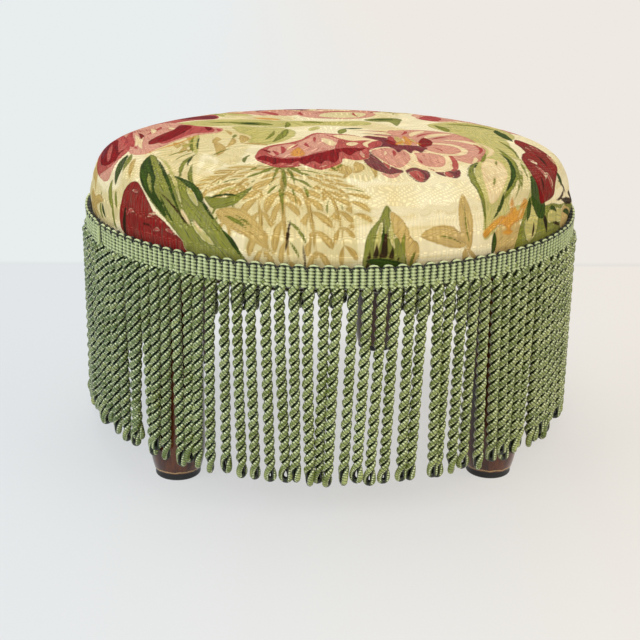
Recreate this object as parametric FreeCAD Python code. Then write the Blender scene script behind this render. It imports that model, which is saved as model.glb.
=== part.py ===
import FreeCAD, Part
import math
import os

# Round upholstered tuffet, in millimetres.
# The origin is on the floor under the middle of the seat. +Z is up and -Y is the front.

V = FreeCAD.Vector
UP = V(0, 0, 1)
FLOOR_CENTRE = V(0, 0, 0)

# Driving dimensions of the whole stool
BAND_OUTER_RADIUS = 190.0
BAND_TOP = 182.4
BAND_HEIGHT = 16.5
BAND_THICKNESS = 4.4
CROWN_TOP = 231.0

# Seat: board, foam, wadding and cover, from the inside out
COVER_THICKNESS = 1.0
WADDING_THICKNESS = 4.0
COVER_SIDE_RADIUS = 185.0
SIDE_DRAW_IN = 0.8
SHOULDER_RADIUS = 24.0
DOME_RADIUS = 2300.0
HEM_CORNER_RADIUS = 4.0
HEM_INNER_RADIUS = 148.0
BOARD_BOTTOM = 161.5
BOARD_THICKNESS = 18.0
DUST_COVER_RADIUS = 172.0
DUST_COVER_THICKNESS = 0.5

# Fringe
CORD_COUNT = 122
CORD_DIAMETER = 7.4
CORD_RING_RADIUS = 189.0
CORD_PHASE_DEG = -1.87
FRINGE_DROP = 158.3
CORD_TRIM = 1.0
LENGTH_SPREAD = 3.0
LENGTH_WAVES = (1.9, 4.1)
LEAN_SPREAD = 1.6
LEAN_WAVES = (0.21, 0.53)
FRINGE_SECTORS = (
    "front", "front_right", "right", "rear_right",
    "rear", "rear_left", "left", "front_left",
)

# Header band details: its scallops stand between the cords
SCALLOP_PHASE_DEG = -0.48
SCALLOP_RADIUS = 4.3
SCALLOP_RISE = 1.5
SCALLOP_SETBACK = 0.4
BAND_JOIN_DEG = -66.0
BAND_LAP_LENGTH = 12.0
BAND_LAP_THICKNESS = 1.0

# Legs and what fixes them; the rear right leg stands nearer the middle of the rear
LEG_NAMES = ("front_left", "front_right", "rear_right", "rear_left")
LEG_ANGLES_DEG = (-45.0, 45.0, 160.0, -135.0)
LEG_RING_RADIUS = 164.0
LEG_TOP_RADIUS = 18.5
LEG_BELLY_RADIUS = 20.3
LEG_BELLY_HEIGHT = 26.0
LEG_FOOT_RADIUS = 17.3
LEG_FOOT_FULLNESS = 0.78
LEG_TAPER_FULLNESS = 0.65
LEG_HOLE_DEPTH = 38.0
GLIDE_HEIGHT = 5.5
GLIDE_RADIUS = 16.6
GLIDE_EDGE = 1.6
NAIL_SHANK_RADIUS = 1.5
NAIL_HEAD_RADIUS = 4.5
NAIL_HEAD_THICKNESS = 1.2
NAIL_RECESS = 2.6
NAIL_RECESS_CLEARANCE = 1.0
NAIL_LENGTH = 19.0
NAIL_POINT_LENGTH = 3.0
NAIL_POINT_RADIUS = 0.3
BOLT_RADIUS = 4.0
BOLT_LENGTH = 54.0
BOLT_POINT_LENGTH = 5.0
BOLT_POINT_RADIUS = 1.2
T_NUT_BARREL_RADIUS = 5.2
T_NUT_BARREL_LENGTH = 11.0
T_NUT_FLANGE_RADIUS = 11.0
T_NUT_FLANGE_THICKNESS = 1.6
T_NUT_PRONG_LENGTH = 8.0
T_NUT_PRONG_WIDTH = 3.0
T_NUT_PRONG_INSET = 2.2
T_NUT_PRONG_COUNT = 4

# Staples
STAPLE_CROWN = 10.0
STAPLE_LEG = 8.0
STAPLE_WIRE_WIDTH = 1.2
STAPLE_WIRE_THICKNESS = 0.7
COVER_STAPLE_COUNT = 32
COVER_STAPLE_RING = 153.0
DUST_STAPLE_COUNT = 24
DUST_STAPLE_RING = 168.5

# Derived heights and radii
BAND_BOTTOM = BAND_TOP - BAND_HEIGHT
BAND_INNER_RADIUS = BAND_OUTER_RADIUS - BAND_THICKNESS
BOARD_TOP = BOARD_BOTTOM + BOARD_THICKNESS
BOARD_RADIUS = COVER_SIDE_RADIUS - COVER_THICKNESS - WADDING_THICKNESS
HEM_BOTTOM = BOARD_BOTTOM - COVER_THICKNESS
DUST_COVER_TOP = HEM_BOTTOM - STAPLE_WIRE_THICKNESS
LEG_TOP = DUST_COVER_TOP - DUST_COVER_THICKNESS
BOLT_TOP = BOARD_TOP - T_NUT_FLANGE_THICKNESS
SHOULDER_CENTRE_RADIUS = COVER_SIDE_RADIUS - SHOULDER_RADIUS
DOME_LEAN = math.asin(SHOULDER_CENTRE_RADIUS / (DOME_RADIUS - SHOULDER_RADIUS))
DOME_CENTRE = CROWN_TOP - DOME_RADIUS
SHOULDER_HEIGHT = DOME_CENTRE + (DOME_RADIUS - SHOULDER_RADIUS) * math.cos(DOME_LEAN)
DIAGONAL = math.sqrt(0.5)


def ring_point(radius, angle_deg, height):
    """Point at a radius and height, with the angle taken from the front towards the right."""
    angle = math.radians(angle_deg)
    return V(radius * math.sin(angle), -radius * math.cos(angle), height)


def turned(shape, angle_deg):
    """Copy of a shape made at the front of the ring, turned to its angle."""
    copy = shape.copy()
    copy.rotate(FLOOR_CENTRE, UP, angle_deg)
    return copy


def save(name, shape):
    """Write one sub-part, after checking that it is sound."""
    if not shape.isValid():
        raise ValueError(name + " is not a valid shape")
    shape.exportStep("parts/" + name + ".step")
    print(name, len(shape.Solids), "solids", round(shape.Volume / 1000.0, 2), "cm3")


def revolved(edges):
    """Solid of revolution about the stool's axis from a closed half outline."""
    face = Part.Face(Part.Wire(edges))
    return face.revolve(FLOOR_CENTRE, UP, 360)


def line(start, end):
    """Straight edge between two (radius, height) points."""
    return Part.LineSegment(V(start[0], 0, start[1]), V(end[0], 0, end[1])).toShape()


def arc(start, middle, end):
    """Arc through three (radius, height) points."""
    points = [V(p[0], 0, p[1]) for p in (start, middle, end)]
    return Part.Arc(points[0], points[1], points[2]).toShape()


def pad_outline(inset, foot):
    """Half outline of the cushion, pulled in by inset, standing on a flat foot at a height.

    The side bulges a little between the band and the shoulder, the shoulder is one arc,
    and the top is a shallow dome.
    """
    side = COVER_SIDE_RADIUS - inset
    shoulder = SHOULDER_RADIUS - inset
    dome = DOME_RADIUS - inset
    corner = max(HEM_CORNER_RADIUS - inset, 0.5)
    foot_side = side - SIDE_DRAW_IN
    half_bend = (math.pi / 2.0 + DOME_LEAN) / 2.0

    def on_shoulder(angle):
        return (
            SHOULDER_CENTRE_RADIUS + shoulder * math.sin(angle),
            SHOULDER_HEIGHT + shoulder * math.cos(angle),
        )

    def on_dome(angle):
        return (dome * math.sin(angle), DOME_CENTRE + dome * math.cos(angle))

    axis_foot = (0.0, foot)
    corner_start = (foot_side - corner, foot)
    corner_middle = (foot_side - corner * (1.0 - DIAGONAL), foot + corner * (1.0 - DIAGONAL))
    corner_end = (foot_side, foot + corner)
    side_middle = (side - SIDE_DRAW_IN / 4.0, (foot + corner + SHOULDER_HEIGHT) / 2.0)
    side_end = (side, SHOULDER_HEIGHT)
    shoulder_end = on_shoulder(DOME_LEAN)
    apex = on_dome(0.0)
    return [
        line(axis_foot, corner_start),
        arc(corner_start, corner_middle, corner_end),
        arc(corner_end, side_middle, side_end),
        arc(side_end, on_shoulder(half_bend), shoulder_end),
        arc(shoulder_end, on_dome(DOME_LEAN / 2.0), apex),
        line(apex, axis_foot),
    ]


def disc(radius, bottom, top):
    """Upright cylinder on the stool's axis."""
    return Part.makeCylinder(radius, top - bottom, V(0, 0, bottom))


def leg_axis_cylinder(radius, bottom, top, angle_deg):
    """Upright cylinder on one leg's axis."""
    foot = ring_point(LEG_RING_RADIUS, angle_deg, bottom)
    return Part.makeCylinder(radius, top - bottom, foot)


def leg_outline():
    """Half outline of a leg: rounded foot, belly near the floor and a slow taper up."""
    foot = GLIDE_HEIGHT
    bend_height = (foot + LEG_BELLY_HEIGHT) / 2.0
    bend_radius = LEG_FOOT_RADIUS + LEG_FOOT_FULLNESS * (LEG_BELLY_RADIUS - LEG_FOOT_RADIUS)
    taper_height = (LEG_BELLY_HEIGHT + LEG_TOP) / 2.0
    taper_radius = LEG_TOP_RADIUS + LEG_TAPER_FULLNESS * (LEG_BELLY_RADIUS - LEG_TOP_RADIUS)
    return [
        line((0.0, foot), (LEG_FOOT_RADIUS, foot)),
        arc((LEG_FOOT_RADIUS, foot), (bend_radius, bend_height), (LEG_BELLY_RADIUS, LEG_BELLY_HEIGHT)),
        arc((LEG_BELLY_RADIUS, LEG_BELLY_HEIGHT), (taper_radius, taper_height), (LEG_TOP_RADIUS, LEG_TOP)),
        line((LEG_TOP_RADIUS, LEG_TOP), (0.0, LEG_TOP)),
        line((0.0, LEG_TOP), (0.0, foot)),
    ]


def leg(angle_deg):
    """One turned leg, bored from above for its bolt and from below for its glide nail."""
    solid = revolved(leg_outline())
    bolt_hole = disc(BOLT_RADIUS, LEG_TOP - LEG_HOLE_DEPTH, LEG_TOP)
    nail_hole = disc(NAIL_SHANK_RADIUS, 0.0, NAIL_RECESS + NAIL_LENGTH)
    solid = solid.cut(bolt_hole).cut(nail_hole)
    solid.translate(ring_point(LEG_RING_RADIUS, angle_deg, 0.0))
    return solid


def glide(angle_deg):
    """One hard glide: a disc with a rounded lower edge and a recess for its nail's head."""
    rim_start = (GLIDE_RADIUS - GLIDE_EDGE, 0.0)
    rim_middle = (GLIDE_RADIUS - GLIDE_EDGE * (1.0 - DIAGONAL), GLIDE_EDGE * (1.0 - DIAGONAL))
    rim_end = (GLIDE_RADIUS, GLIDE_EDGE)
    outline = [
        line((0.0, 0.0), rim_start),
        arc(rim_start, rim_middle, rim_end),
        line(rim_end, (GLIDE_RADIUS, GLIDE_HEIGHT)),
        line((GLIDE_RADIUS, GLIDE_HEIGHT), (0.0, GLIDE_HEIGHT)),
        line((0.0, GLIDE_HEIGHT), (0.0, 0.0)),
    ]
    recess = disc(NAIL_HEAD_RADIUS + NAIL_RECESS_CLEARANCE, 0.0, NAIL_RECESS)
    shank_hole = disc(NAIL_SHANK_RADIUS, 0.0, GLIDE_HEIGHT)
    solid = revolved(outline).cut(recess).cut(shank_hole)
    solid.translate(ring_point(LEG_RING_RADIUS, angle_deg, 0.0))
    return solid


def glide_nail(angle_deg):
    """One nail with a flat head, driven up through the glide into the leg's end."""
    head_bottom = NAIL_RECESS - NAIL_HEAD_THICKNESS
    shank_top = NAIL_RECESS + NAIL_LENGTH - NAIL_POINT_LENGTH
    point_base = ring_point(LEG_RING_RADIUS, angle_deg, shank_top)
    head = leg_axis_cylinder(NAIL_HEAD_RADIUS, head_bottom, NAIL_RECESS, angle_deg)
    shank = leg_axis_cylinder(NAIL_SHANK_RADIUS, head_bottom, shank_top, angle_deg)
    point = Part.makeCone(NAIL_SHANK_RADIUS, NAIL_POINT_RADIUS, NAIL_POINT_LENGTH, point_base)
    return head.fuse([shank, point]).removeSplitter()


def hanger_bolt(angle_deg):
    """One hanger bolt: wood end in the leg, machine end in the T-nut."""
    bottom = BOLT_TOP - BOLT_LENGTH
    point_base = ring_point(LEG_RING_RADIUS, angle_deg, bottom)
    shank = leg_axis_cylinder(BOLT_RADIUS, bottom + BOLT_POINT_LENGTH, BOLT_TOP, angle_deg)
    point = Part.makeCone(BOLT_POINT_RADIUS, BOLT_RADIUS, BOLT_POINT_LENGTH, point_base)
    return shank.fuse(point).removeSplitter()


def t_nut(angle_deg):
    """One pronged T-nut, its flange flush with the board's top."""
    barrel_bottom = BOARD_TOP - T_NUT_BARREL_LENGTH
    prong_inner = T_NUT_FLANGE_RADIUS - T_NUT_PRONG_INSET
    barrel = disc(T_NUT_BARREL_RADIUS, barrel_bottom, BOARD_TOP)
    flange = disc(T_NUT_FLANGE_RADIUS, BOARD_TOP - T_NUT_FLANGE_THICKNESS, BOARD_TOP)
    prongs = []
    for index in range(T_NUT_PRONG_COUNT):
        prong = Part.makeBox(
            T_NUT_PRONG_WIDTH,
            T_NUT_FLANGE_THICKNESS,
            T_NUT_PRONG_LENGTH,
            V(-T_NUT_PRONG_WIDTH / 2.0, prong_inner, BOARD_TOP - T_NUT_PRONG_LENGTH),
        )
        prong.rotate(FLOOR_CENTRE, UP, index * 360.0 / T_NUT_PRONG_COUNT)
        prongs.append(prong)
    solid = barrel.fuse([flange] + prongs).cut(disc(BOLT_RADIUS, barrel_bottom, BOARD_TOP))
    solid = solid.removeSplitter()
    solid.translate(ring_point(LEG_RING_RADIUS, angle_deg, 0.0))
    return solid


def staple(ring_radius, crown_bottom, angle_deg):
    """One staple driven up from below, its crown along the ring."""
    half = STAPLE_CROWN / 2.0
    y = -ring_radius - STAPLE_WIRE_WIDTH / 2.0
    crown = Part.makeBox(STAPLE_CROWN, STAPLE_WIRE_WIDTH, STAPLE_WIRE_THICKNESS, V(-half, y, crown_bottom))
    legs = []
    for x in (-half, half - STAPLE_WIRE_THICKNESS):
        prong = Part.makeBox(STAPLE_WIRE_THICKNESS, STAPLE_WIRE_WIDTH, STAPLE_LEG, V(x, y, crown_bottom))
        legs.append(prong)
    return turned(crown.fuse(legs).removeSplitter(), angle_deg)


def staple_ring(count, ring_radius, crown_bottom):
    """Evenly spaced staples, leaving out those that a leg would cover."""
    reach = LEG_BELLY_RADIUS + STAPLE_CROWN
    clear_deg = math.degrees(reach / ring_radius)
    staples = []
    for index in range(count):
        angle = (index + 0.5) * 360.0 / count
        gap = min(abs((angle - leg_angle + 180.0) % 360.0 - 180.0) for leg_angle in LEG_ANGLES_DEG)
        if gap > clear_deg or ring_radius < LEG_RING_RADIUS - LEG_TOP_RADIUS:
            staples.append(staple(ring_radius, crown_bottom, angle))
    return Part.makeCompound(staples)


def bolt_holes(radius, bottom, top):
    """The four holes that the hanger bolts pass through."""
    return [leg_axis_cylinder(radius, bottom, top, angle) for angle in LEG_ANGLES_DEG]


def seat_board(cutters):
    """Plywood disc with softened edges, cut by the T-nuts, bolts and staples it holds."""
    board = disc(BOARD_RADIUS, BOARD_BOTTOM, BOARD_TOP)
    rims = [edge for edge in board.Edges if edge.Length > BOARD_RADIUS]
    board = board.makeFillet(1.5, rims)
    return board.cut(cutters)


def seat_cover(cutters):
    """Linen shell over the pad, its hem turned under the board."""
    skin = revolved(pad_outline(0.0, HEM_BOTTOM))
    inside = revolved(pad_outline(COVER_THICKNESS, BOARD_BOTTOM))
    opening = disc(HEM_INNER_RADIUS, HEM_BOTTOM - 1.0, BOARD_BOTTOM + 0.5)
    return skin.cut(inside).cut(opening).cut(cutters)


def wadding():
    """Wadding over the foam and down the board's edge."""
    outer = revolved(pad_outline(COVER_THICKNESS, BOARD_BOTTOM))
    inner = revolved(pad_outline(COVER_THICKNESS + WADDING_THICKNESS, BOARD_BOTTOM))
    core = disc(BOARD_RADIUS, BOARD_BOTTOM - 1.0, BOARD_TOP)
    return outer.cut(inner.fuse(core).removeSplitter())


def foam_pad():
    """Crowned foam block on the board."""
    return revolved(pad_outline(COVER_THICKNESS + WADDING_THICKNESS, BOARD_BOTTOM)).cut(
        disc(COVER_SIDE_RADIUS, 0.0, BOARD_TOP)
    )


def dust_cover(cutters):
    """Black cambric disc under the board."""
    cloth = disc(DUST_COVER_RADIUS, LEG_TOP, DUST_COVER_TOP)
    return cloth.cut(cutters)


def cord_angle(index):
    """Angle of one cord round the ring, from the front towards the right."""
    return CORD_PHASE_DEG + index * 360.0 / CORD_COUNT


def header_band():
    """Woven band with a scalloped upper edge and its free end lapped over the other."""
    band = disc(BAND_OUTER_RADIUS, BAND_BOTTOM, BAND_TOP - SCALLOP_RISE)
    hidden_radius = BAND_INNER_RADIUS - BAND_THICKNESS
    face_radius = BAND_OUTER_RADIUS - SCALLOP_SETBACK
    scallops = []
    for index in range(CORD_COUNT):
        angle = SCALLOP_PHASE_DEG + index * 360.0 / CORD_COUNT
        start = ring_point(hidden_radius, angle, BAND_TOP - SCALLOP_RADIUS)
        outward = ring_point(1.0, angle, 0.0)
        scallops.append(Part.makeCylinder(SCALLOP_RADIUS, face_radius - hidden_radius, start, outward))
    lap = Part.makeBox(
        BAND_LAP_LENGTH,
        BAND_THICKNESS + BAND_LAP_THICKNESS,
        BAND_HEIGHT - SCALLOP_RISE,
        V(-BAND_LAP_LENGTH / 2.0, -BAND_OUTER_RADIUS - BAND_LAP_THICKNESS, BAND_BOTTOM),
    )
    band = band.fuse(scallops + [turned(lap, BAND_JOIN_DEG)])
    return band.cut(disc(BAND_INNER_RADIUS, BAND_BOTTOM - 1.0, BAND_TOP + SCALLOP_RADIUS)).removeSplitter()


def cord_wander(index, spread, waves):
    """Repeatable unevenness of one cord, between minus and plus spread."""
    return spread * (math.sin(waves[0] * index) + math.cos(waves[1] * index)) / 2.0


def fringe_cord(index):
    """One fringe cord as a plain rod with a round end, hanging a little off plumb.

    Its upper end is trimmed level, so that it meets the band's lower edge.
    """
    radius = CORD_DIAMETER / 2.0
    drop = FRINGE_DROP - BAND_HEIGHT + cord_wander(index, LENGTH_SPREAD, LENGTH_WAVES)
    lean_deg = math.degrees(cord_wander(index, LEAN_SPREAD, LEAN_WAVES) / drop)
    root = V(0, -CORD_RING_RADIUS, BAND_BOTTOM)
    top = root + V(0, 0, CORD_TRIM)
    straight = drop + CORD_TRIM - radius
    rod = Part.makeCylinder(radius, straight, top, V(0, 0, -1))
    end = Part.makeSphere(radius, top - V(0, 0, straight))
    cord = rod.fuse(end).removeSplitter()
    cord.rotate(root, V(0, 1, 0), lean_deg)
    block = 4.0 * CORD_DIAMETER
    level = Part.makeBox(block, block, block, root - V(block / 2.0, block / 2.0, 0))
    return turned(cord.cut(level), cord_angle(index))


def fringe():
    """The cords grouped by the eighth of the ring that they hang in."""
    step = 360.0 / len(FRINGE_SECTORS)
    groups = {name: [] for name in FRINGE_SECTORS}
    for index in range(CORD_COUNT):
        sector = int(((cord_angle(index) + step / 2.0) % 360.0) // step)
        groups[FRINGE_SECTORS[sector]].append(fringe_cord(index))
    return groups


def main():
    """Build every sub-part and write it to its own file."""
    os.makedirs("parts", exist_ok=True)
    t_nuts = [t_nut(angle) for angle in LEG_ANGLES_DEG]
    cover_staples = staple_ring(COVER_STAPLE_COUNT, COVER_STAPLE_RING, DUST_COVER_TOP)
    dust_staples = staple_ring(DUST_STAPLE_COUNT, DUST_STAPLE_RING, LEG_TOP - STAPLE_WIRE_THICKNESS)
    staples = cover_staples.Solids + dust_staples.Solids
    nut_bores = bolt_holes(T_NUT_BARREL_RADIUS, BOARD_BOTTOM - 1.0, BOARD_TOP)
    cloth_holes = bolt_holes(BOLT_RADIUS, LEG_TOP - 1.0, BOARD_BOTTOM + 1.0)

    save("seat_board", seat_board(t_nuts + nut_bores + staples))
    save("foam_pad", foam_pad())
    save("wadding", wadding())
    save("seat_cover", seat_cover(cloth_holes + staples))
    save("dust_cover", dust_cover(cloth_holes + staples))
    save("header_band", header_band())
    for sector, cords in fringe().items():
        save("fringe_" + sector, Part.makeCompound(cords))
    for name, angle, nut in zip(LEG_NAMES, LEG_ANGLES_DEG, t_nuts):
        save("leg_" + name, leg(angle))
        save("glide_" + name, glide(angle))
        save("hanger_bolt_" + name, hanger_bolt(angle))
        save("t_nut_" + name, nut)
    save("glide_nails", Part.makeCompound([glide_nail(angle) for angle in LEG_ANGLES_DEG]))
    save("cover_staples", cover_staples)
    save("dust_cover_staples", dust_staples)


main()
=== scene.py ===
import logging
import math
import random
from contextlib import contextmanager
from dataclasses import dataclass, field
from enum import Enum
from typing import Callable, Iterator, Sequence, Union

import bmesh
import bpy
import numpy as np
from mathutils import Matrix, Vector


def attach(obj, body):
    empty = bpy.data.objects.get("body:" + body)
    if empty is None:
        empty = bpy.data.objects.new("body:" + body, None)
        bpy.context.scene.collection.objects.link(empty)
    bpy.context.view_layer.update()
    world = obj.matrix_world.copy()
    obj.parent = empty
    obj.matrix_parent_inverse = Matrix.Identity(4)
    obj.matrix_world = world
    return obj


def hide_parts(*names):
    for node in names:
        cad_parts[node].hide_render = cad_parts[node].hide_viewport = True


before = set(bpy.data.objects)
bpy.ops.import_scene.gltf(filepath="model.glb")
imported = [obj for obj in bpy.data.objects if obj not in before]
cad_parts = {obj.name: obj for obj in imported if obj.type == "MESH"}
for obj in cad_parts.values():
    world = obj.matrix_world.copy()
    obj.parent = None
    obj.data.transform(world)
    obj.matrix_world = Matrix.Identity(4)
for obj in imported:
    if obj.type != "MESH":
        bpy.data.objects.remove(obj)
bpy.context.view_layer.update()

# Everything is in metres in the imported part's frame: +Z up, the front towards -Y.
# Angles round the seat run from the front towards the right.
MM = 0.001
BODY = "root"
LOG = logging.getLogger("tuffet")

Point = tuple[float, float]
Colour = tuple[float, float, float]


# Mesh tools

def deselect_all() -> None:
    """Leave edit mode and deselect every object."""
    if bpy.context.object is not None and bpy.context.object.mode != "OBJECT":
        bpy.ops.object.mode_set(mode="OBJECT")
    bpy.ops.object.select_all(action="DESELECT")


def activate(obj: bpy.types.Object) -> bpy.types.Object:
    """Select one object alone and make it the active one.

    Args:
        obj: The object.

    Returns:
        The same object.
    """
    deselect_all()
    obj.select_set(True)
    bpy.context.view_layer.objects.active = obj
    return obj


def named(name: str) -> bpy.types.Object:
    """Name the primitive that was just added.

    Args:
        name: New name of the object and of its mesh.

    Returns:
        The active object.
    """
    obj = bpy.context.object
    obj.name = name
    obj.data.name = name
    return obj


@contextmanager
def shaping(obj: bpy.types.Object) -> Iterator[bpy.types.Object]:
    """Put one object in edit mode with nothing selected, and take it out at the end."""
    activate(obj)
    bpy.ops.object.mode_set(mode="EDIT")
    bpy.ops.mesh.select_all(action="DESELECT")
    yield obj
    bpy.ops.object.mode_set(mode="OBJECT")


def pick_faces(obj: bpy.types.Object, wanted: Callable[[Vector, Vector], bool]) -> None:
    """Select faces of the mesh in edit mode by their middle and normal.

    Args:
        obj: Object in edit mode.
        wanted: Test of a face's middle and normal.
    """
    bpy.ops.mesh.select_mode(type="FACE")
    mesh = bmesh.from_edit_mesh(obj.data)
    for face in mesh.faces:
        face.select_set(wanted(face.calc_center_median(), face.normal))
    bmesh.update_edit_mesh(obj.data)


def pick_edges(obj: bpy.types.Object, wanted: Callable[[Vector, Vector], bool]) -> None:
    """Select edges of the mesh in edit mode by their two ends.

    Args:
        obj: Object in edit mode.
        wanted: Test of an edge's ends.
    """
    bpy.ops.mesh.select_mode(type="EDGE")
    mesh = bmesh.from_edit_mesh(obj.data)
    for edge in mesh.edges:
        edge.select_set(wanted(edge.verts[0].co, edge.verts[1].co))
    bmesh.update_edit_mesh(obj.data)


def read_points(obj: bpy.types.Object) -> np.ndarray:
    """Vertices of a mesh as an array of n rows."""
    points = np.empty(len(obj.data.vertices) * 3)
    obj.data.vertices.foreach_get("co", points)
    return points.reshape(-1, 3)


def write_points(obj: bpy.types.Object, points: np.ndarray) -> None:
    """Put changed vertices back into a mesh."""
    obj.data.vertices.foreach_set("co", np.ascontiguousarray(points).ravel())
    obj.data.update()


def apply_place(obj: bpy.types.Object) -> None:
    """Bring the object's place, turn and scale into its mesh."""
    activate(obj)
    bpy.ops.object.transform_apply(location=True, rotation=True, scale=True)


def modify(obj: bpy.types.Object, kind: str, **settings: object) -> None:
    """Add one modifier and apply it.

    Args:
        obj: The object.
        kind: Modifier type.
        settings: Its settings.
    """
    activate(obj)
    modifier = obj.modifiers.new(kind.title(), kind)
    for key, value in settings.items():
        setattr(modifier, key, value)
    bpy.ops.object.modifier_apply(modifier=modifier.name)


def copied(obj: bpy.types.Object, name: str) -> bpy.types.Object:
    """Copy an object with a mesh of its own."""
    twin = obj.copy()
    twin.data = obj.data.copy()
    twin.name = name
    bpy.context.collection.objects.link(twin)
    return twin


def joined(pieces: Sequence[bpy.types.Object], name: str) -> bpy.types.Object:
    """Join several meshes into the first of them.

    Args:
        pieces: Mesh objects.
        name: Name of the result.

    Returns:
        The joined object.
    """
    deselect_all()
    for piece in pieces:
        piece.select_set(True)
    bpy.context.view_layer.objects.active = pieces[0]
    bpy.ops.object.join()
    return named(name)


def close_and_face_out(obj: bpy.types.Object) -> None:
    """Merge doubled vertices and turn all normals outwards."""
    with shaping(obj):
        bpy.ops.mesh.select_all(action="SELECT")
        bpy.ops.mesh.remove_doubles(threshold=0.00002)
        bpy.ops.mesh.normals_make_consistent(inside=False)


def smooth(obj: bpy.types.Object, angle_deg: float = 180.0) -> None:
    """Shade smooth, with sharp edges above an angle."""
    activate(obj)
    bpy.ops.object.shade_smooth_by_angle(angle=math.radians(angle_deg))


def give_numbers(obj: bpy.types.Object, name: str, values: np.ndarray) -> None:
    """Store one number, or one vector, per vertex for a material to read.

    Args:
        obj: Mesh object.
        name: Name of the attribute.
        values: Array of n numbers, or of n rows of three.
    """
    kind = "FLOAT" if values.ndim == 1 else "FLOAT_VECTOR"
    attribute = obj.data.attributes.new(name, kind, "POINT")
    key = "value" if values.ndim == 1 else "vector"
    attribute.data.foreach_set(key, np.ascontiguousarray(values, dtype=np.float32).ravel())


def smoothstep(low: float, high: float, values: np.ndarray) -> np.ndarray:
    """Smooth ramp from 0 at low to 1 at high."""
    t = np.clip((values - low) / (high - low), 0.0, 1.0)
    return t * t * (3.0 - 2.0 * t)


def turned_about_z(points: np.ndarray, angle: float) -> np.ndarray:
    """Turn points about the vertical axis.

    Args:
        points: Array of n rows.
        angle: Turn in radians, from the front towards the right.

    Returns:
        The turned points.
    """
    c, s = math.cos(angle), math.sin(angle)
    x, y = points[:, 0], points[:, 1]
    return np.column_stack([c * x - s * y, s * x + c * y, points[:, 2]])


# Shader tools

def linear(red: int, green: int, blue: int) -> tuple[float, float, float, float]:
    """Turn a colour of 0 to 255 as seen on a screen into a shader colour."""
    def channel(value: int) -> float:
        """One channel of the colour."""
        part = value / 255.0
        return part / 12.92 if part <= 0.04045 else ((part + 0.055) / 1.055) ** 2.4

    return channel(red), channel(green), channel(blue), 1.0


Operand = Union["Value", float]


class Value:
    """A number in a shader, on which Python's operators add Math nodes."""

    def __init__(self, shader: "Shader", socket: bpy.types.NodeSocket) -> None:
        """Wrap one output socket of a shader's node."""
        self.shader = shader
        self.socket = socket

    def math(self, operation: str, *others: Operand, swap: bool = False, clamp: bool = False) -> "Value":
        """Add a Math node.

        Args:
            operation: Its operation.
            others: Further operands.
            swap: Whether this value comes last.
            clamp: Whether the result stays between 0 and 1.

        Returns:
            The result.
        """
        operands = [*others, self] if swap else [self, *others]
        node = self.shader.node(
            "ShaderNodeMath", {"operation": operation, "use_clamp": clamp}, dict(enumerate(operands))
        )
        return Value(self.shader, node.outputs[0])

    def __add__(self, other: Operand) -> "Value":
        """Sum."""
        return self.math("ADD", other)

    def __radd__(self, other: Operand) -> "Value":
        """Sum with a number on the left."""
        return self.math("ADD", other)

    def __sub__(self, other: Operand) -> "Value":
        """Difference."""
        return self.math("SUBTRACT", other)

    def __rsub__(self, other: Operand) -> "Value":
        """Difference with a number on the left."""
        return self.math("SUBTRACT", other, swap=True)

    def __mul__(self, other: Operand) -> "Value":
        """Product."""
        return self.math("MULTIPLY", other)

    def __rmul__(self, other: Operand) -> "Value":
        """Product with a number on the left."""
        return self.math("MULTIPLY", other)

    def __truediv__(self, other: Operand) -> "Value":
        """Quotient."""
        return self.math("DIVIDE", other)

    def __rtruediv__(self, other: Operand) -> "Value":
        """Quotient with a number on the left."""
        return self.math("DIVIDE", other, swap=True)

    def __abs__(self) -> "Value":
        """Size without sign."""
        return self.math("ABSOLUTE")

    def sine(self) -> "Value":
        """Sine of an angle in radians."""
        return self.math("SINE")

    def power(self, exponent: float) -> "Value":
        """Raised to an exponent."""
        return self.math("POWER", exponent)

    def largest(self, other: Operand) -> "Value":
        """The larger of two."""
        return self.math("MAXIMUM", other)

    def smallest(self, other: Operand) -> "Value":
        """The smaller of two."""
        return self.math("MINIMUM", other)

    def above(self, limit: Operand) -> "Value":
        """1 where the value is above a limit."""
        return self.math("GREATER_THAN", limit)

    def ramp(self, low: float, high: float, start: float = 0.0, end: float = 1.0) -> "Value":
        """Smooth step from start at low to end at high."""
        node = self.shader.node(
            "ShaderNodeMapRange",
            {"interpolation_type": "SMOOTHSTEP"},
            {"Value": self, "From Min": low, "From Max": high, "To Min": start, "To Max": end},
        )
        return Value(self.shader, node.outputs["Result"])


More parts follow.
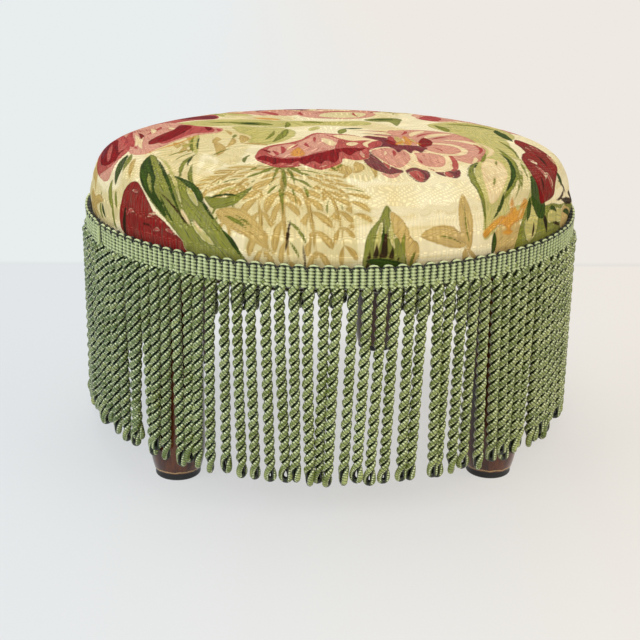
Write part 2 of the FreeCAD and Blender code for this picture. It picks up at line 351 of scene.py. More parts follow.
class Shader:
    """A material's nodes, with a few short ways to add them."""

    def __init__(self, name: str) -> None:
        """Start an empty material of that name."""
        self.material = bpy.data.materials.new(name)
        self.material.use_nodes = True
        self.tree = self.material.node_tree
        self.tree.nodes.clear()

    def node(self, kind: str, settings: dict | None = None, inputs: dict | None = None) -> bpy.types.Node:
        """Add one node.

        Args:
            kind: Its type.
            settings: Its own settings, set first.
            inputs: Values or links of its sockets, by name or number.

        Returns:
            The node.
        """
        node = self.tree.nodes.new(kind)
        for key, value in (settings or {}).items():
            setattr(node, key, value)
        for key, value in (inputs or {}).items():
            socket = node.inputs[key]
            if isinstance(value, Value):
                self.tree.links.new(value.socket, socket)
            elif isinstance(value, bpy.types.NodeSocket):
                self.tree.links.new(value, socket)
            else:
                socket.default_value = value
        return node

    def place(self) -> bpy.types.NodeSocket:
        """The surface's place in the object's own frame."""
        return self.node("ShaderNodeTexCoord").outputs["Object"]

    def surface(self) -> bpy.types.NodeSocket:
        """The piece's own UV map."""
        return self.node("ShaderNodeTexCoord").outputs["UV"]

    def number(self, name: str) -> Value:
        """A number stored per vertex."""
        node = self.node("ShaderNodeAttribute", {"attribute_name": name})
        return Value(self, node.outputs["Fac"])

    def vector(self, name: str) -> bpy.types.NodeSocket:
        """A vector stored per vertex."""
        return self.node("ShaderNodeAttribute", {"attribute_name": name}).outputs["Vector"]

    def parts(self, vector: bpy.types.NodeSocket) -> tuple[Value, Value, Value]:
        """The three numbers of a vector."""
        node = self.node("ShaderNodeSeparateXYZ", None, {0: vector})
        return tuple(Value(self, node.outputs[i]) for i in range(3))

    def together(self, x: Operand, y: Operand, z: Operand = 0.0) -> bpy.types.NodeSocket:
        """A vector of three numbers."""
        return self.node("ShaderNodeCombineXYZ", None, {0: x, 1: y, 2: z}).outputs[0]

    def stretched(self, vector: bpy.types.NodeSocket, factors: Sequence[float]) -> bpy.types.NodeSocket:
        """A vector multiplied number by number."""
        node = self.node("ShaderNodeVectorMath", {"operation": "MULTIPLY"}, {0: vector, 1: tuple(factors)})
        return node.outputs[0]

    def noise(self, vector: bpy.types.NodeSocket, scale: float, detail: float = 2.0, rough: float = 0.5) -> Value:
        """Soft noise of 0 to 1 with a mean of a half."""
        node = self.node(
            "ShaderNodeTexNoise",
            None,
            {"Vector": vector, "Scale": scale, "Detail": detail, "Roughness": rough},
        )
        return Value(self, node.outputs["Fac"])

    def mix(self, factor: Operand, first: object, second: object, blend: str = "MIX") -> bpy.types.NodeSocket:
        """Mix two colours.

        Args:
            factor: Share of the second.
            first: Colour or socket.
            second: Colour or socket.
            blend: How they are mixed.

        Returns:
            The mixed colour.
        """
        node = self.node("ShaderNodeMix", {"data_type": "RGBA", "blend_type": blend}, {0: factor, 6: first, 7: second})
        return node.outputs[2]

    def bump(self, height: Operand, depth: float, strength: float = 1.0) -> bpy.types.NodeSocket:
        """Normal of a surface with a relief.

        Args:
            height: Relief of about 0 to 1.
            depth: What 1 stands for, in metres.
            strength: Share of the effect.

        Returns:
            The normal.
        """
        node = self.node("ShaderNodeBump", None, {"Height": height, "Distance": depth, "Strength": strength})
        return node.outputs[0]

    def finish(self, constants: dict | None = None, **varied: object) -> bpy.types.Material:
        """Add the surface shader and the output.

        Args:
            constants: Sockets that are the same all over.
            varied: base, roughness, normal, coat: links to the sockets that vary.

        Returns:
            The material.
        """
        sockets = {"base": "Base Color", "roughness": "Roughness", "normal": "Normal", "coat": "Coat Weight"}
        inputs = dict(constants or {})
        inputs.update({sockets[key]: value for key, value in varied.items()})
        surface = self.node("ShaderNodeBsdfPrincipled", None, inputs)
        self.node("ShaderNodeOutputMaterial", None, {"Surface": surface.outputs[0]})
        return self.material


# Finishes

class Ink(Enum):
    """Inks of the print, in the order in which they lie over each other."""

    WASH = "wash"
    TAN = "tan"
    PALE = "pale_green"
    LEAF = "leaf_green"
    DEEP = "deep_green"
    CREAM = "cream"
    BLUSH = "blush"
    ROSE = "rose"
    CRIMSON = "crimson"
    PLUM = "plum"
    AMBER = "amber"
    SHADE = "shade"


@dataclass(frozen=True)
class InkLook:
    """Colours of one ink: its brush strokes run between two and a few bristles leave a third."""

    first: Colour
    second: Colour
    accent: Colour
    edge: float = 0.35
    wobble: float = 1.0
    cover: float = 1.0
    thin: float = 0.0


INK_LOOKS: dict[Ink, InkLook] = {
    Ink.WASH: InkLook((224, 202, 140), (196, 182, 108), (184, 158, 90), 2.4, 5.0, 0.7, 0.45),
    Ink.TAN: InkLook((206, 174, 100), (170, 134, 54), (136, 104, 36), 0.6, 1.6, 0.95, 0.35),
    Ink.PALE: InkLook((206, 192, 108), (152, 150, 58), (122, 126, 44), 1.0, 2.4, 0.95, 0.45),
    Ink.LEAF: InkLook((142, 144, 52), (92, 100, 28), (56, 72, 20), 0.5, 1.4, 1.0, 0.25),
    Ink.DEEP: InkLook((60, 84, 20), (30, 50, 12), (18, 28, 6), 0.5, 1.4, 1.0, 0.1),
    Ink.CREAM: InkLook((242, 220, 172), (232, 200, 148), (214, 168, 122), 0.6, 0.9, 0.95, 0.3),
    Ink.BLUSH: InkLook((220, 154, 132), (192, 108, 98), (160, 58, 62), 0.5, 1.2, 0.97, 0.4),
    Ink.ROSE: InkLook((192, 84, 78), (158, 38, 46), (112, 14, 26), 0.5, 1.1, 1.0, 0.2),
    Ink.CRIMSON: InkLook((146, 12, 18), (104, 4, 12), (64, 2, 8), 0.45, 1.1, 1.0, 0.0),
    Ink.PLUM: InkLook((132, 50, 58), (92, 28, 40), (58, 14, 22), 0.6, 1.4, 1.0, 0.15),
    Ink.AMBER: InkLook((222, 156, 52), (196, 124, 34), (150, 88, 24), 0.9, 2.6, 0.9, 0.35),
    Ink.SHADE: InkLook((36, 36, 14), (58, 26, 16), (16, 16, 6), 0.6, 1.5, 1.0, 0.1),
}


@dataclass(frozen=True)
class PrintedLinen:
    """Cream linen with the floral print; its UV map holds the flat cloth's own place."""

    ground: Colour = (244, 230, 188)
    stain: Colour = (230, 210, 154)
    rim_depth: float = 2.2
    thread_pitch: float = 1.6
    uv_span: float = 600.0

    def make(self) -> bpy.types.Material:
        """Build the material; lengths inside it are in millimetres of cloth."""
        sh = Shader("printed_linen")
        cloth = sh.stretched(sh.surface(), (self.uv_span, self.uv_span, 0.0))
        across, along, _ = sh.parts(cloth)
        turn = math.pi / self.thread_pitch
        lobes = (across * turn).sine() * (along * turn).sine()
        over = lobes.ramp(-0.3, 0.3)
        grain = sh.vector("grain")
        broad = sh.noise(cloth, 0.11, 3.0, 0.6) - 0.5
        fine = sh.noise(cloth, 0.42, 3.0, 0.65) - 0.5
        wobble = broad * 2.4 + fine * 1.8
        streak = sh.noise(sh.stretched(grain, (0.04, 0.55, 1.0)), 1.0, 4.0, 0.65)
        bristle = sh.noise(sh.stretched(grain, (0.09, 1.5, 1.0)), 1.0, 3.0, 0.6)
        brush = (streak - 0.5) * 2.2 + (bristle - 0.5) * 1.2 + fine * 0.9 + 0.42
        lines = sh.noise(sh.stretched(grain, (0.05, 0.75, 1.0)), 1.0, 3.0, 0.6).ramp(0.56, 0.66, 0.0, 0.8)
        pale_mark = (bristle * 0.7 + streak * 0.5).ramp(0.5, 0.86) + lobes.ramp(0.3, 1.0, 0.0, 0.5)
        colour = sh.mix(sh.noise(cloth, 0.03, 3.0).ramp(0.42, 0.72), linear(*self.ground), linear(*self.stain))
        for ink, look in INK_LOOKS.items():
            depth = sh.number("ink_" + ink.value) + wobble * (0.55 * look.wobble)
            mask = depth.ramp(-look.edge, look.edge, 0.0, look.cover)
            mask = mask * (1.0 - (pale_mark * max(look.thin, 0.12)).smallest(0.8))
            rim = depth.ramp(0.0, self.rim_depth, 0.42, 0.0)
            tone = sh.mix(brush.ramp(0.15, 0.85) + rim, linear(*look.first), linear(*look.second))
            tone = sh.mix(lines, tone, linear(*look.accent))
            colour = sh.mix(mask, colour, tone)
        slub = sh.noise(sh.stretched(cloth, (0.9, 0.06, 1.0)), 1.0, 2.0) * over
        slub = slub + sh.noise(sh.stretched(cloth, (0.06, 0.9, 1.0)), 1.0, 2.0) * (1.0 - over)
        shade = abs(lobes).ramp(0.0, 0.5, 0.82, 0.98) + lobes * 0.15 + (slub - 0.5) * 0.2
        colour = sh.mix(1.0, colour, sh.together(shade, shade, shade), "MULTIPLY")
        normal = sh.bump(lobes * 0.5 + slub * 0.4, 0.25 * MM, 0.5)
        return sh.finish({"Roughness": 0.9, "Specular IOR Level": 0.12}, base=colour, normal=normal)


@dataclass(frozen=True)
class TwistedYarn:
    """Satin two-ply cord; u runs along a ply and v round it; its colour carries painted shade, highlight and cool
    light.
    """

    # Painted highlight on the ply crests.
    crest_light: Colour = (214, 220, 138)
    body: Colour = (100, 116, 34)
    # Painted shade in the grooves between the plies.
    groove_shade: Colour = (10, 15, 3)
    # A cooler green: random tone, and painted cool light on the left side.
    cool_tone_and_light: Colour = (64, 98, 42)
    # Painted highlight along the rims of the plies.
    glint: Colour = (236, 240, 190)
    ply_length: float = 360.0
    yarn_pitch: float = 1.75

    def make(self) -> bpy.types.Material:
        """Build the material."""
        sh = Shader("fringe_cord")
        u, v, _ = sh.parts(sh.surface())
        run = u * self.ply_length
        place = sh.place()
        uneven = sh.noise(place, 320.0, 2.0) - 0.5
        lines = ((run * (2.0 * math.pi / self.yarn_pitch) + v * (2.0 * math.pi) + uneven * 3.0).sine() + 1.0) * 0.5
        # How far out each point lies on its ply, from groove to crest: it places the painted shade and highlight.
        crest_light = sh.number("crest_light")
        tone = sh.noise(place, 60.0, 3.0, 0.6)
        # Painted cool light: the left side of the fringe shifts towards the cooler green.
        side = sh.parts(place)[0] * -1.3 - 0.1
        colour = sh.mix((tone + side).ramp(0.36, 0.62), linear(*self.body), linear(*self.cool_tone_and_light))
        # Painted highlight on the ply crests, patchy with the tone.
        colour = sh.mix(crest_light.ramp(0.88, 1.0) * tone.ramp(0.35, 0.7) * 0.7, colour, linear(*self.crest_light))
        # Painted shade in the dark lines between the yarns.
        yarn_shade = lines.ramp(0.0, 0.42, 0.34, 1.0) + uneven * 0.3
        colour = sh.mix(1.0, colour, sh.together(yarn_shade, yarn_shade, yarn_shade), "MULTIPLY")
        # Painted highlight: a bright rim just outside each groove.
        edge = crest_light.ramp(0.7, 0.78) * crest_light.ramp(0.84, 0.94, 1.0, 0.0)
        colour = sh.mix(edge * lines.ramp(0.1, 0.5) * (0.4 + tone * 0.8), colour, linear(*self.glint))
        # Painted shade: the grooves between the plies turn near-black.
        colour = sh.mix(crest_light.ramp(0.52, 0.74), linear(*self.groove_shade), colour)
        normal = sh.bump(lines, 0.3 * MM, 0.7)
        return sh.finish({"Roughness": 0.34, "Specular IOR Level": 0.6}, base=colour, normal=normal)


@dataclass(frozen=True)
class WovenBraid:
    """Pale sage braid of the header band, with painted shade in its gaps and a painted highlight on its bulges."""

    # Painted highlight on the bulges of the columns.
    crest_light: Colour = (208, 218, 164)
    body: Colour = (138, 152, 96)
    # Painted shade: the near-black of the gaps between the columns.
    gap: Colour = (16, 20, 6)

    def make(self) -> bpy.types.Material:
        """Build the material."""
        sh = Shader("band_braid")
        place = sh.place()
        crest_light = sh.number("crest_light")
        threads = sh.noise(sh.stretched(place, (700.0, 700.0, 3600.0)), 1.0, 2.0)
        tone = sh.noise(place, 90.0, 3.0)
        # Painted shade where the crest light share is low: the gaps, the column sides and the ribbon.
        colour = sh.mix(crest_light.ramp(0.2, 0.7), linear(*self.gap), linear(*self.body))
        # Painted highlight on the bulges of the columns.
        colour = sh.mix(crest_light.ramp(0.55, 0.95) * (0.5 + tone * 0.8), colour, linear(*self.crest_light))
        dark = threads.ramp(0.3, 0.6, 0.8, 1.05)
        colour = sh.mix(1.0, colour, sh.together(dark, dark, dark), "MULTIPLY")
        normal = sh.bump(threads, 0.3 * MM, 0.6)
        return sh.finish({"Roughness": 0.6, "Sheen Weight": 0.2}, base=colour, normal=normal)


@dataclass(frozen=True)
class StainedWood:
    """Dark glossy stain over fine grain, with a pale matt band along the foot's edge."""

    light: Colour = (108, 56, 22)
    dark: Colour = (48, 14, 6)
    bare: Colour = (196, 160, 110)
    pale_band_height: float = 0.0068

    def make(self) -> bpy.types.Material:
        """Build the material."""
        sh = Shader("stained_wood")
        place = sh.place()
        height = sh.parts(place)[2]
        grain = sh.noise(sh.stretched(place, (190.0, 190.0, 11.0)), 1.0, 4.0, 0.6)
        cloud = sh.noise(place, 28.0, 3.0)
        pores = sh.noise(sh.stretched(place, (900.0, 900.0, 40.0)), 1.0, 2.0)
        colour = sh.mix((grain * 0.8 + cloud * 0.4).ramp(0.42, 0.8), linear(*self.dark), linear(*self.light))
        rough_edge = (sh.noise(place, 160.0, 3.0) - 0.5) * 0.0022
        # A pale, matt band at a fixed height along the foot's lower edge.
        pale_mark = 1.0 - abs(height + rough_edge - self.pale_band_height).ramp(0.0002, 0.0008)
        colour = sh.mix(pale_mark * 0.85, colour, linear(*self.bare))
        normal = sh.bump(grain * 0.6 + pores * 0.4, 0.12 * MM, 0.5)
        roughness = 0.16 + cloud * 0.14 + pale_mark * 0.4
        return sh.finish({"Coat Weight": 0.6, "Coat Roughness": 0.06, "Specular IOR Level": 0.3}, base=colour, roughness=roughness, normal=normal)


@dataclass(frozen=True)
class Speckled:
    """A plain stuff with fine grain: plastic, steel, foam, wadding or non-woven cloth."""

    name: str
    first: Colour
    second: Colour
    roughness: float
    scale: float
    relief: float
    metallic: float = 0.0
    stretch: tuple[float, float, float] = (1.0, 1.0, 1.0)

    def make(self) -> bpy.types.Material:
        """Build the material."""
        sh = Shader(self.name)
        place = sh.stretched(sh.place(), self.stretch)
        speck = sh.noise(place, self.scale, 4.0, 0.7)
        cloud = sh.noise(place, self.scale * 0.08, 2.0)
        colour = sh.mix((speck * 0.6 + cloud * 0.4).ramp(0.35, 0.65), linear(*self.first), linear(*self.second))
        roughness = self.roughness + (cloud - 0.5) * 0.25
        normal = sh.bump(speck, self.relief, 0.6)
        return sh.finish({"Metallic": self.metallic}, base=colour, roughness=roughness, normal=normal)


@dataclass(frozen=True)
class Plywood:
    """Birch plywood: grain on the faces and plies at the edge."""

    light: Colour = (214, 182, 134)
    dark: Colour = (160, 118, 72)
    ply: float = 0.0015

    def make(self) -> bpy.types.Material:
        """Build the material."""
        sh = Shader("plywood")
        place = sh.place()
        height = sh.parts(place)[2]
        grain = sh.noise(sh.stretched(place, (6.0, 150.0, 150.0)), 1.0, 4.0, 0.6)
        plies = ((height * (math.pi / self.ply)).sine() + 1.0) * 0.5
        colour = sh.mix((grain * 0.75 + plies * 0.25).ramp(0.3, 0.75), linear(*self.light), linear(*self.dark))
        return sh.finish({"Roughness": 0.7}, base=colour, normal=sh.bump(grain, 0.3 * MM, 0.5))


@dataclass(frozen=True)
class PaleFloor:
    """Pale floor that keeps the shadow and turns to the wall's colour behind a line."""

    left: Colour = (226, 230, 233)
    right: Colour = (238, 232, 224)
    wall_left: Colour = (232, 237, 238)
    wall_right: Colour = (238, 233, 227)
    wall_line: float = 0.42
    self_lit: float = 0.70
    self_lit_behind: float = 0.96

    def make(self) -> bpy.types.Material:
        """Build the material."""
        sh = Shader("pale_floor")
        across, deep, _ = sh.parts(sh.place())
        side = across.ramp(-0.35, 0.4)
        floor = sh.mix(side, linear(*self.left), linear(*self.right))
        wall = sh.mix(side, linear(*self.wall_left), linear(*self.wall_right))
        behind = deep.ramp(self.wall_line - 0.004, self.wall_line + 0.004)
        # Painted shade: a thin darker line where the wall meets the floor.
        line = 1.0 - abs(deep - self.wall_line).ramp(0.002, 0.02)
        wall = sh.mix(line * 0.12, wall, linear(150, 155, 155))
        seen = sh.node("ShaderNodeLightPath")
        shown = Value(sh, seen.outputs["Is Camera Ray"]) + Value(sh, seen.outputs["Is Glossy Ray"])
        shown = (shown + Value(sh, seen.outputs["Is Transmission Ray"])).smallest(1.0)
        matt = sh.node("ShaderNodeBsdfDiffuse", None, {"Color": floor}).outputs[0]
        glow = sh.node("ShaderNodeEmission", None, {"Color": floor, "Strength": 1.0}).outputs[0]
        wall_glow = sh.node("ShaderNodeEmission", None, {"Color": wall, "Strength": 1.0}).outputs[0]
        lit = deep.ramp(0.02, 0.26, self.self_lit, self.self_lit_behind)
        near = sh.node("ShaderNodeMixShader", None, {0: shown * lit, 1: matt, 2: glow}).outputs[0]
        both = sh.node("ShaderNodeMixShader", None, {0: shown * behind, 1: near, 2: wall_glow}).outputs[0]
        sh.node("ShaderNodeOutputMaterial", None, {"Surface": both})
        return sh.material


# Print design

@dataclass(frozen=True)
class Stroke:
    """One brush stroke of a motif, in millimetres of cloth: a bent line that swells and narrows.

    bow bends it sideways as a share of its length, swell is the share of the length at which it is
    widest, and blunt is 0.5 for round ends, 1 for pointed ones and more for drawn-out ones.
    """

    ink: Ink
    root: Point
    tip: Point
    width: float
    bow: float = 0.0
    swell: float = 0.5
    blunt: float = 1.0


@dataclass(frozen=True)
class Patch:
    """One smooth closed area of a motif through a few points; its brush strokes lie along lie_deg."""

    ink: Ink
    outline: tuple[Point, ...]
    lie_deg: float = 90.0


Motif = tuple[Union[Stroke, Patch], ...]


class StrokeField:
    """Measures how deep points of the cloth lie inside a stroke."""

    STEPS = 14

    def __init__(self, root: np.ndarray, tip: np.ndarray, width: float, stroke: Stroke, bow: float) -> None:
        """Lay the stroke out between two points of the cloth."""
        chord = tip - root
        side = np.array([-chord[1], chord[0]])
        middle = (root + tip) / 2.0 + side * bow * 2.0
        t = np.linspace(0.0, 1.0, self.STEPS)[:, None]
        self.line = (1 - t) ** 2 * root + 2 * t * (1 - t) * middle + t**2 * tip
        self.reach = width / 2.0
        self.length = float(np.linalg.norm(np.diff(self.line, axis=0), axis=1).sum())
        self.rise = 2.0 * stroke.blunt * stroke.swell
        self.fall = 2.0 * stroke.blunt * (1.0 - stroke.swell)
        self.peak = stroke.swell**self.rise * (1.0 - stroke.swell) ** self.fall

    def measure(self, points: np.ndarray) -> tuple[np.ndarray, np.ndarray, np.ndarray]:
        """How far inside each point lies, and its place along and across the stroke."""
        best = np.full(len(points), 1e9)
        along = np.zeros(len(points))
        across = np.zeros(len(points))
        for index in range(self.STEPS - 1):
            start = self.line[index]
            step = self.line[index + 1] - start
            offset = points - start
            t = np.clip(offset @ step / float(step @ step), 0.0, 1.0)
            gap = offset - t[:, None] * step
            distance = np.hypot(gap[:, 0], gap[:, 1])
            nearer = distance < best
            best = np.where(nearer, distance, best)
            along = np.where(nearer, (index + t) / (self.STEPS - 1), along)
            sign = np.sign(step[0] * offset[:, 1] - step[1] * offset[:, 0])
            across = np.where(nearer, sign * distance, across)
        half = self.reach * along**self.rise * (1.0 - along) ** self.fall / self.peak
        return half - best, along * self.length, across


class PatchField:
    """Measures how deep points of the cloth lie inside a patch."""

    STEPS = 5
    reach = 0.0

    def __init__(self, outline: np.ndarray, lie: float) -> None:
        """Round the outline off between its points."""
        before, after = np.roll(outline, 1, axis=0), np.roll(outline, -1, axis=0)
        beyond = np.roll(outline, -2, axis=0)
        pieces = []
        for t in np.arange(self.STEPS) / self.STEPS:
            pieces.append(0.5 * (
                2.0 * outline + (after - before) * t + (2.0 * before - 5.0 * outline + 4.0 * after - beyond) * t**2
                + (3.0 * outline - before - 3.0 * after + beyond) * t**3
            ))
        self.line = np.stack(pieces, axis=1).reshape(-1, 2)
        self.heading = np.array([math.cos(lie), math.sin(lie)])

    def measure(self, points: np.ndarray) -> tuple[np.ndarray, np.ndarray, np.ndarray]:
        """How far inside each point lies, and its place along and across the brush strokes."""
        best = np.full(len(points), 1e9)
        inside = np.zeros(len(points), dtype=bool)
        x, y = points[:, 0], points[:, 1]
        for start, end in zip(self.line, np.roll(self.line, -1, axis=0)):
            step = end - start
            offset = points - start
            t = np.clip(offset @ step / max(float(step @ step), 1e-9), 0.0, 1.0)
            gap = offset - t[:, None] * step
            best = np.minimum(best, np.hypot(gap[:, 0], gap[:, 1]))
            crosses = (start[1] > y) != (end[1] > y)
            if step[1] != 0.0:
                inside ^= crosses & (x < start[0] + (y - start[1]) * step[0] / step[1])
        side = np.array([-self.heading[1], self.heading[0]])
        return np.where(inside, best, -best), points @ self.heading, points @ side


class Cloth:
    """The flat cloth on which the print is painted, point by point."""

    OUTSIDE = -30.0
    MARGIN = 6.0

    def __init__(self, points: np.ndarray) -> None:
        """Take the cloth's points, n rows of two, in millimetres."""
        self.points = points
        self.cover = {ink: np.full(len(points), self.OUTSIDE) for ink in Ink}
        self.grain = np.column_stack([points[:, 1], points[:, 0], np.zeros(len(points))])

    def paint(self, ink: Ink, shape: Union[StrokeField, PatchField]) -> None:
        """Paint one shape over what is there."""
        reach = shape.reach + self.MARGIN
        low, high = shape.line.min(axis=0) - reach, shape.line.max(axis=0) + reach
        near = np.flatnonzero(np.all((self.points > low) & (self.points < high), axis=1))
        if not len(near):
            return
        depth, along, across = shape.measure(self.points[near])
        inks = list(Ink)
        self.cover[ink][near] = np.maximum(self.cover[ink][near], depth)
        for other in inks[inks.index(ink) + 1:]:
            self.cover[other][near] = np.minimum(self.cover[other][near], -depth)
        inside = depth > -0.8
        self.grain[near[inside], 0] = along[inside]
        self.grain[near[inside], 1] = across[inside] + 0.37 * shape.line[0, 0]


@dataclass(frozen=True)
class Brush:
    """Paints motifs turned, stretched and moved from the point about which they are drawn."""

    cloth: Cloth
    about: Point = (0.0, 0.0)
    to: Point = (0.0, 0.0)
    turn_deg: float = 0.0
    stretch: float = 1.0
    mirror: bool = False

    def at(self, point: Point) -> np.ndarray:
        """Where a point of the motif lies on the cloth."""
        dx, dy = (point[0] - self.about[0]) * self.stretch, (point[1] - self.about[1]) * self.stretch
        if self.mirror:
            dx = -dx
        c, s = math.cos(math.radians(self.turn_deg)), math.sin(math.radians(self.turn_deg))
        return np.array([self.to[0] + c * dx - s * dy, self.to[1] + s * dx + c * dy])

    def paint(self, *motif: Union[Stroke, Patch]) -> None:
        """Paint the parts of a motif in order."""
        for part in motif:
            if isinstance(part, Stroke):
                bow = -part.bow if self.mirror else part.bow
                shape = StrokeField(self.at(part.root), self.at(part.tip), part.width * self.stretch, part, bow)
            else:
                lie = math.radians((180.0 - part.lie_deg if self.mirror else part.lie_deg) + self.turn_deg)
                shape = PatchField(np.array([self.at(point) for point in part.outline]), lie)
            self.cloth.paint(part.ink, shape)


RED_BLOOM: Motif = (
    Patch(Ink.ROSE, ((-59, -82), (-58, -64), (-54, -49), (-46, -38), (-34, -30), (-24, -18), (-18, -3), (-11, 8),
                     (1, 5), (14, 2), (24, -7), (34, -18), (37, -26), (34, -40), (26, -50), (24, -66), (22, -80),
                     (13, -87), (4, -82), (1, -96), (-13, -114), (-25, -102), (-31, -106), (-44, -107), (-53, -96))),
    Patch(Ink.BLUSH, ((-50, -52), (-42, -40), (-30, -34), (-22, -22), (-15, -4), (-9, 5), (2, 2), (10, -2),
                      (6, -16), (1, -38), (-2, -52), (-14, -62), (-24, -74), (-38, -79), (-48, -70)), 75),
    Patch(Ink.CRIMSON, ((-58, -81), (-53, -72), (-47, -78), (-38, -82), (-27, -80), (-19, -71), (-8, -61), (0, -52),
                        (10, -47), (22, -48), (19, -56), (13, -61), (3, -62), (1, -80), (-3, -94), (-9, -88),
                        (-13, -98), (-18, -90), (-25, -99), (-29, -90), (-34, -97), (-41, -94), (-46, -99), (-51, -90))),
    Stroke(Ink.CRIMSON, (10, -48), (9, -73), 9.0, 0.0, 0.4, 0.8),
    Stroke(Ink.ROSE, (-40, -40), (-40, -68), 3.6, 0.06, 0.5, 0.9),
    Stroke(Ink.ROSE, (-29, -30), (-33, -50), 3.2, 0.1, 0.5, 0.9),
    Stroke(Ink.ROSE, (-20, -28), (-18, -48), 2.8, -0.1, 0.5, 0.9),
    Stroke(Ink.ROSE, (-47, -56), (-44, -74), 3.4, 0.1, 0.5, 0.9),
    Stroke(Ink.CRIMSON, (-56, -52), (-48, -66), 3.0, 0.12, 0.5, 0.9),
    Stroke(Ink.CREAM, (-27, -34), (-36, -58), 2.4, -0.05, 0.5, 0.9),
    Stroke(Ink.AMBER, (-27, -46), (-29, -76), 11.0, 0.0, 0.72, 0.8),
    Stroke(Ink.CREAM, (-8, -12), (-2, -42), 8.5, 0.05, 0.5, 0.8),
    Stroke(Ink.ROSE, (-12, -2), (-14, -36), 2.2, -0.03, 0.5, 0.9),
    Patch(Ink.CREAM, ((1, -2), (12, 0), (24, -9), (33, -19), (22, -20), (14, -22), (6, -14)), 0),
    Patch(Ink.ROSE, ((4, -20), (14, -24), (24, -22), (34, -24), (32, -38), (24, -47), (14, -47), (6, -42)), 80),
    Patch(Ink.CREAM, ((10, -30), (14, -27), (18, -31), (16, -38), (12, -41), (9, -36)), 80),
    Stroke(Ink.ROSE, (-6, 2), (6, -20), 2.4, 0.05, 0.5, 0.9),
    Stroke(Ink.CREAM, (36, -17), (27, -50), 4.2, -0.22, 0.45, 0.9),
    Stroke(Ink.CREAM, (-25, -103), (-29, -96), 3.0, 0.0, 0.4, 0.9),
    Stroke(Ink.CRIMSON, (-9, -66), (-3, -90), 3.0, 0.0, 0.5, 0.9),
    Stroke(Ink.BLUSH, (-41, -104), (-30, -103), 2.6, 0.1, 0.5, 0.9),
    Stroke(Ink.BLUSH, (-15, -110), (-8, -100), 2.6, 0.1, 0.5, 0.9),
    Stroke(Ink.BLUSH, (18, -56), (19, -80), 2.6, 0.0, 0.5, 0.9),
)

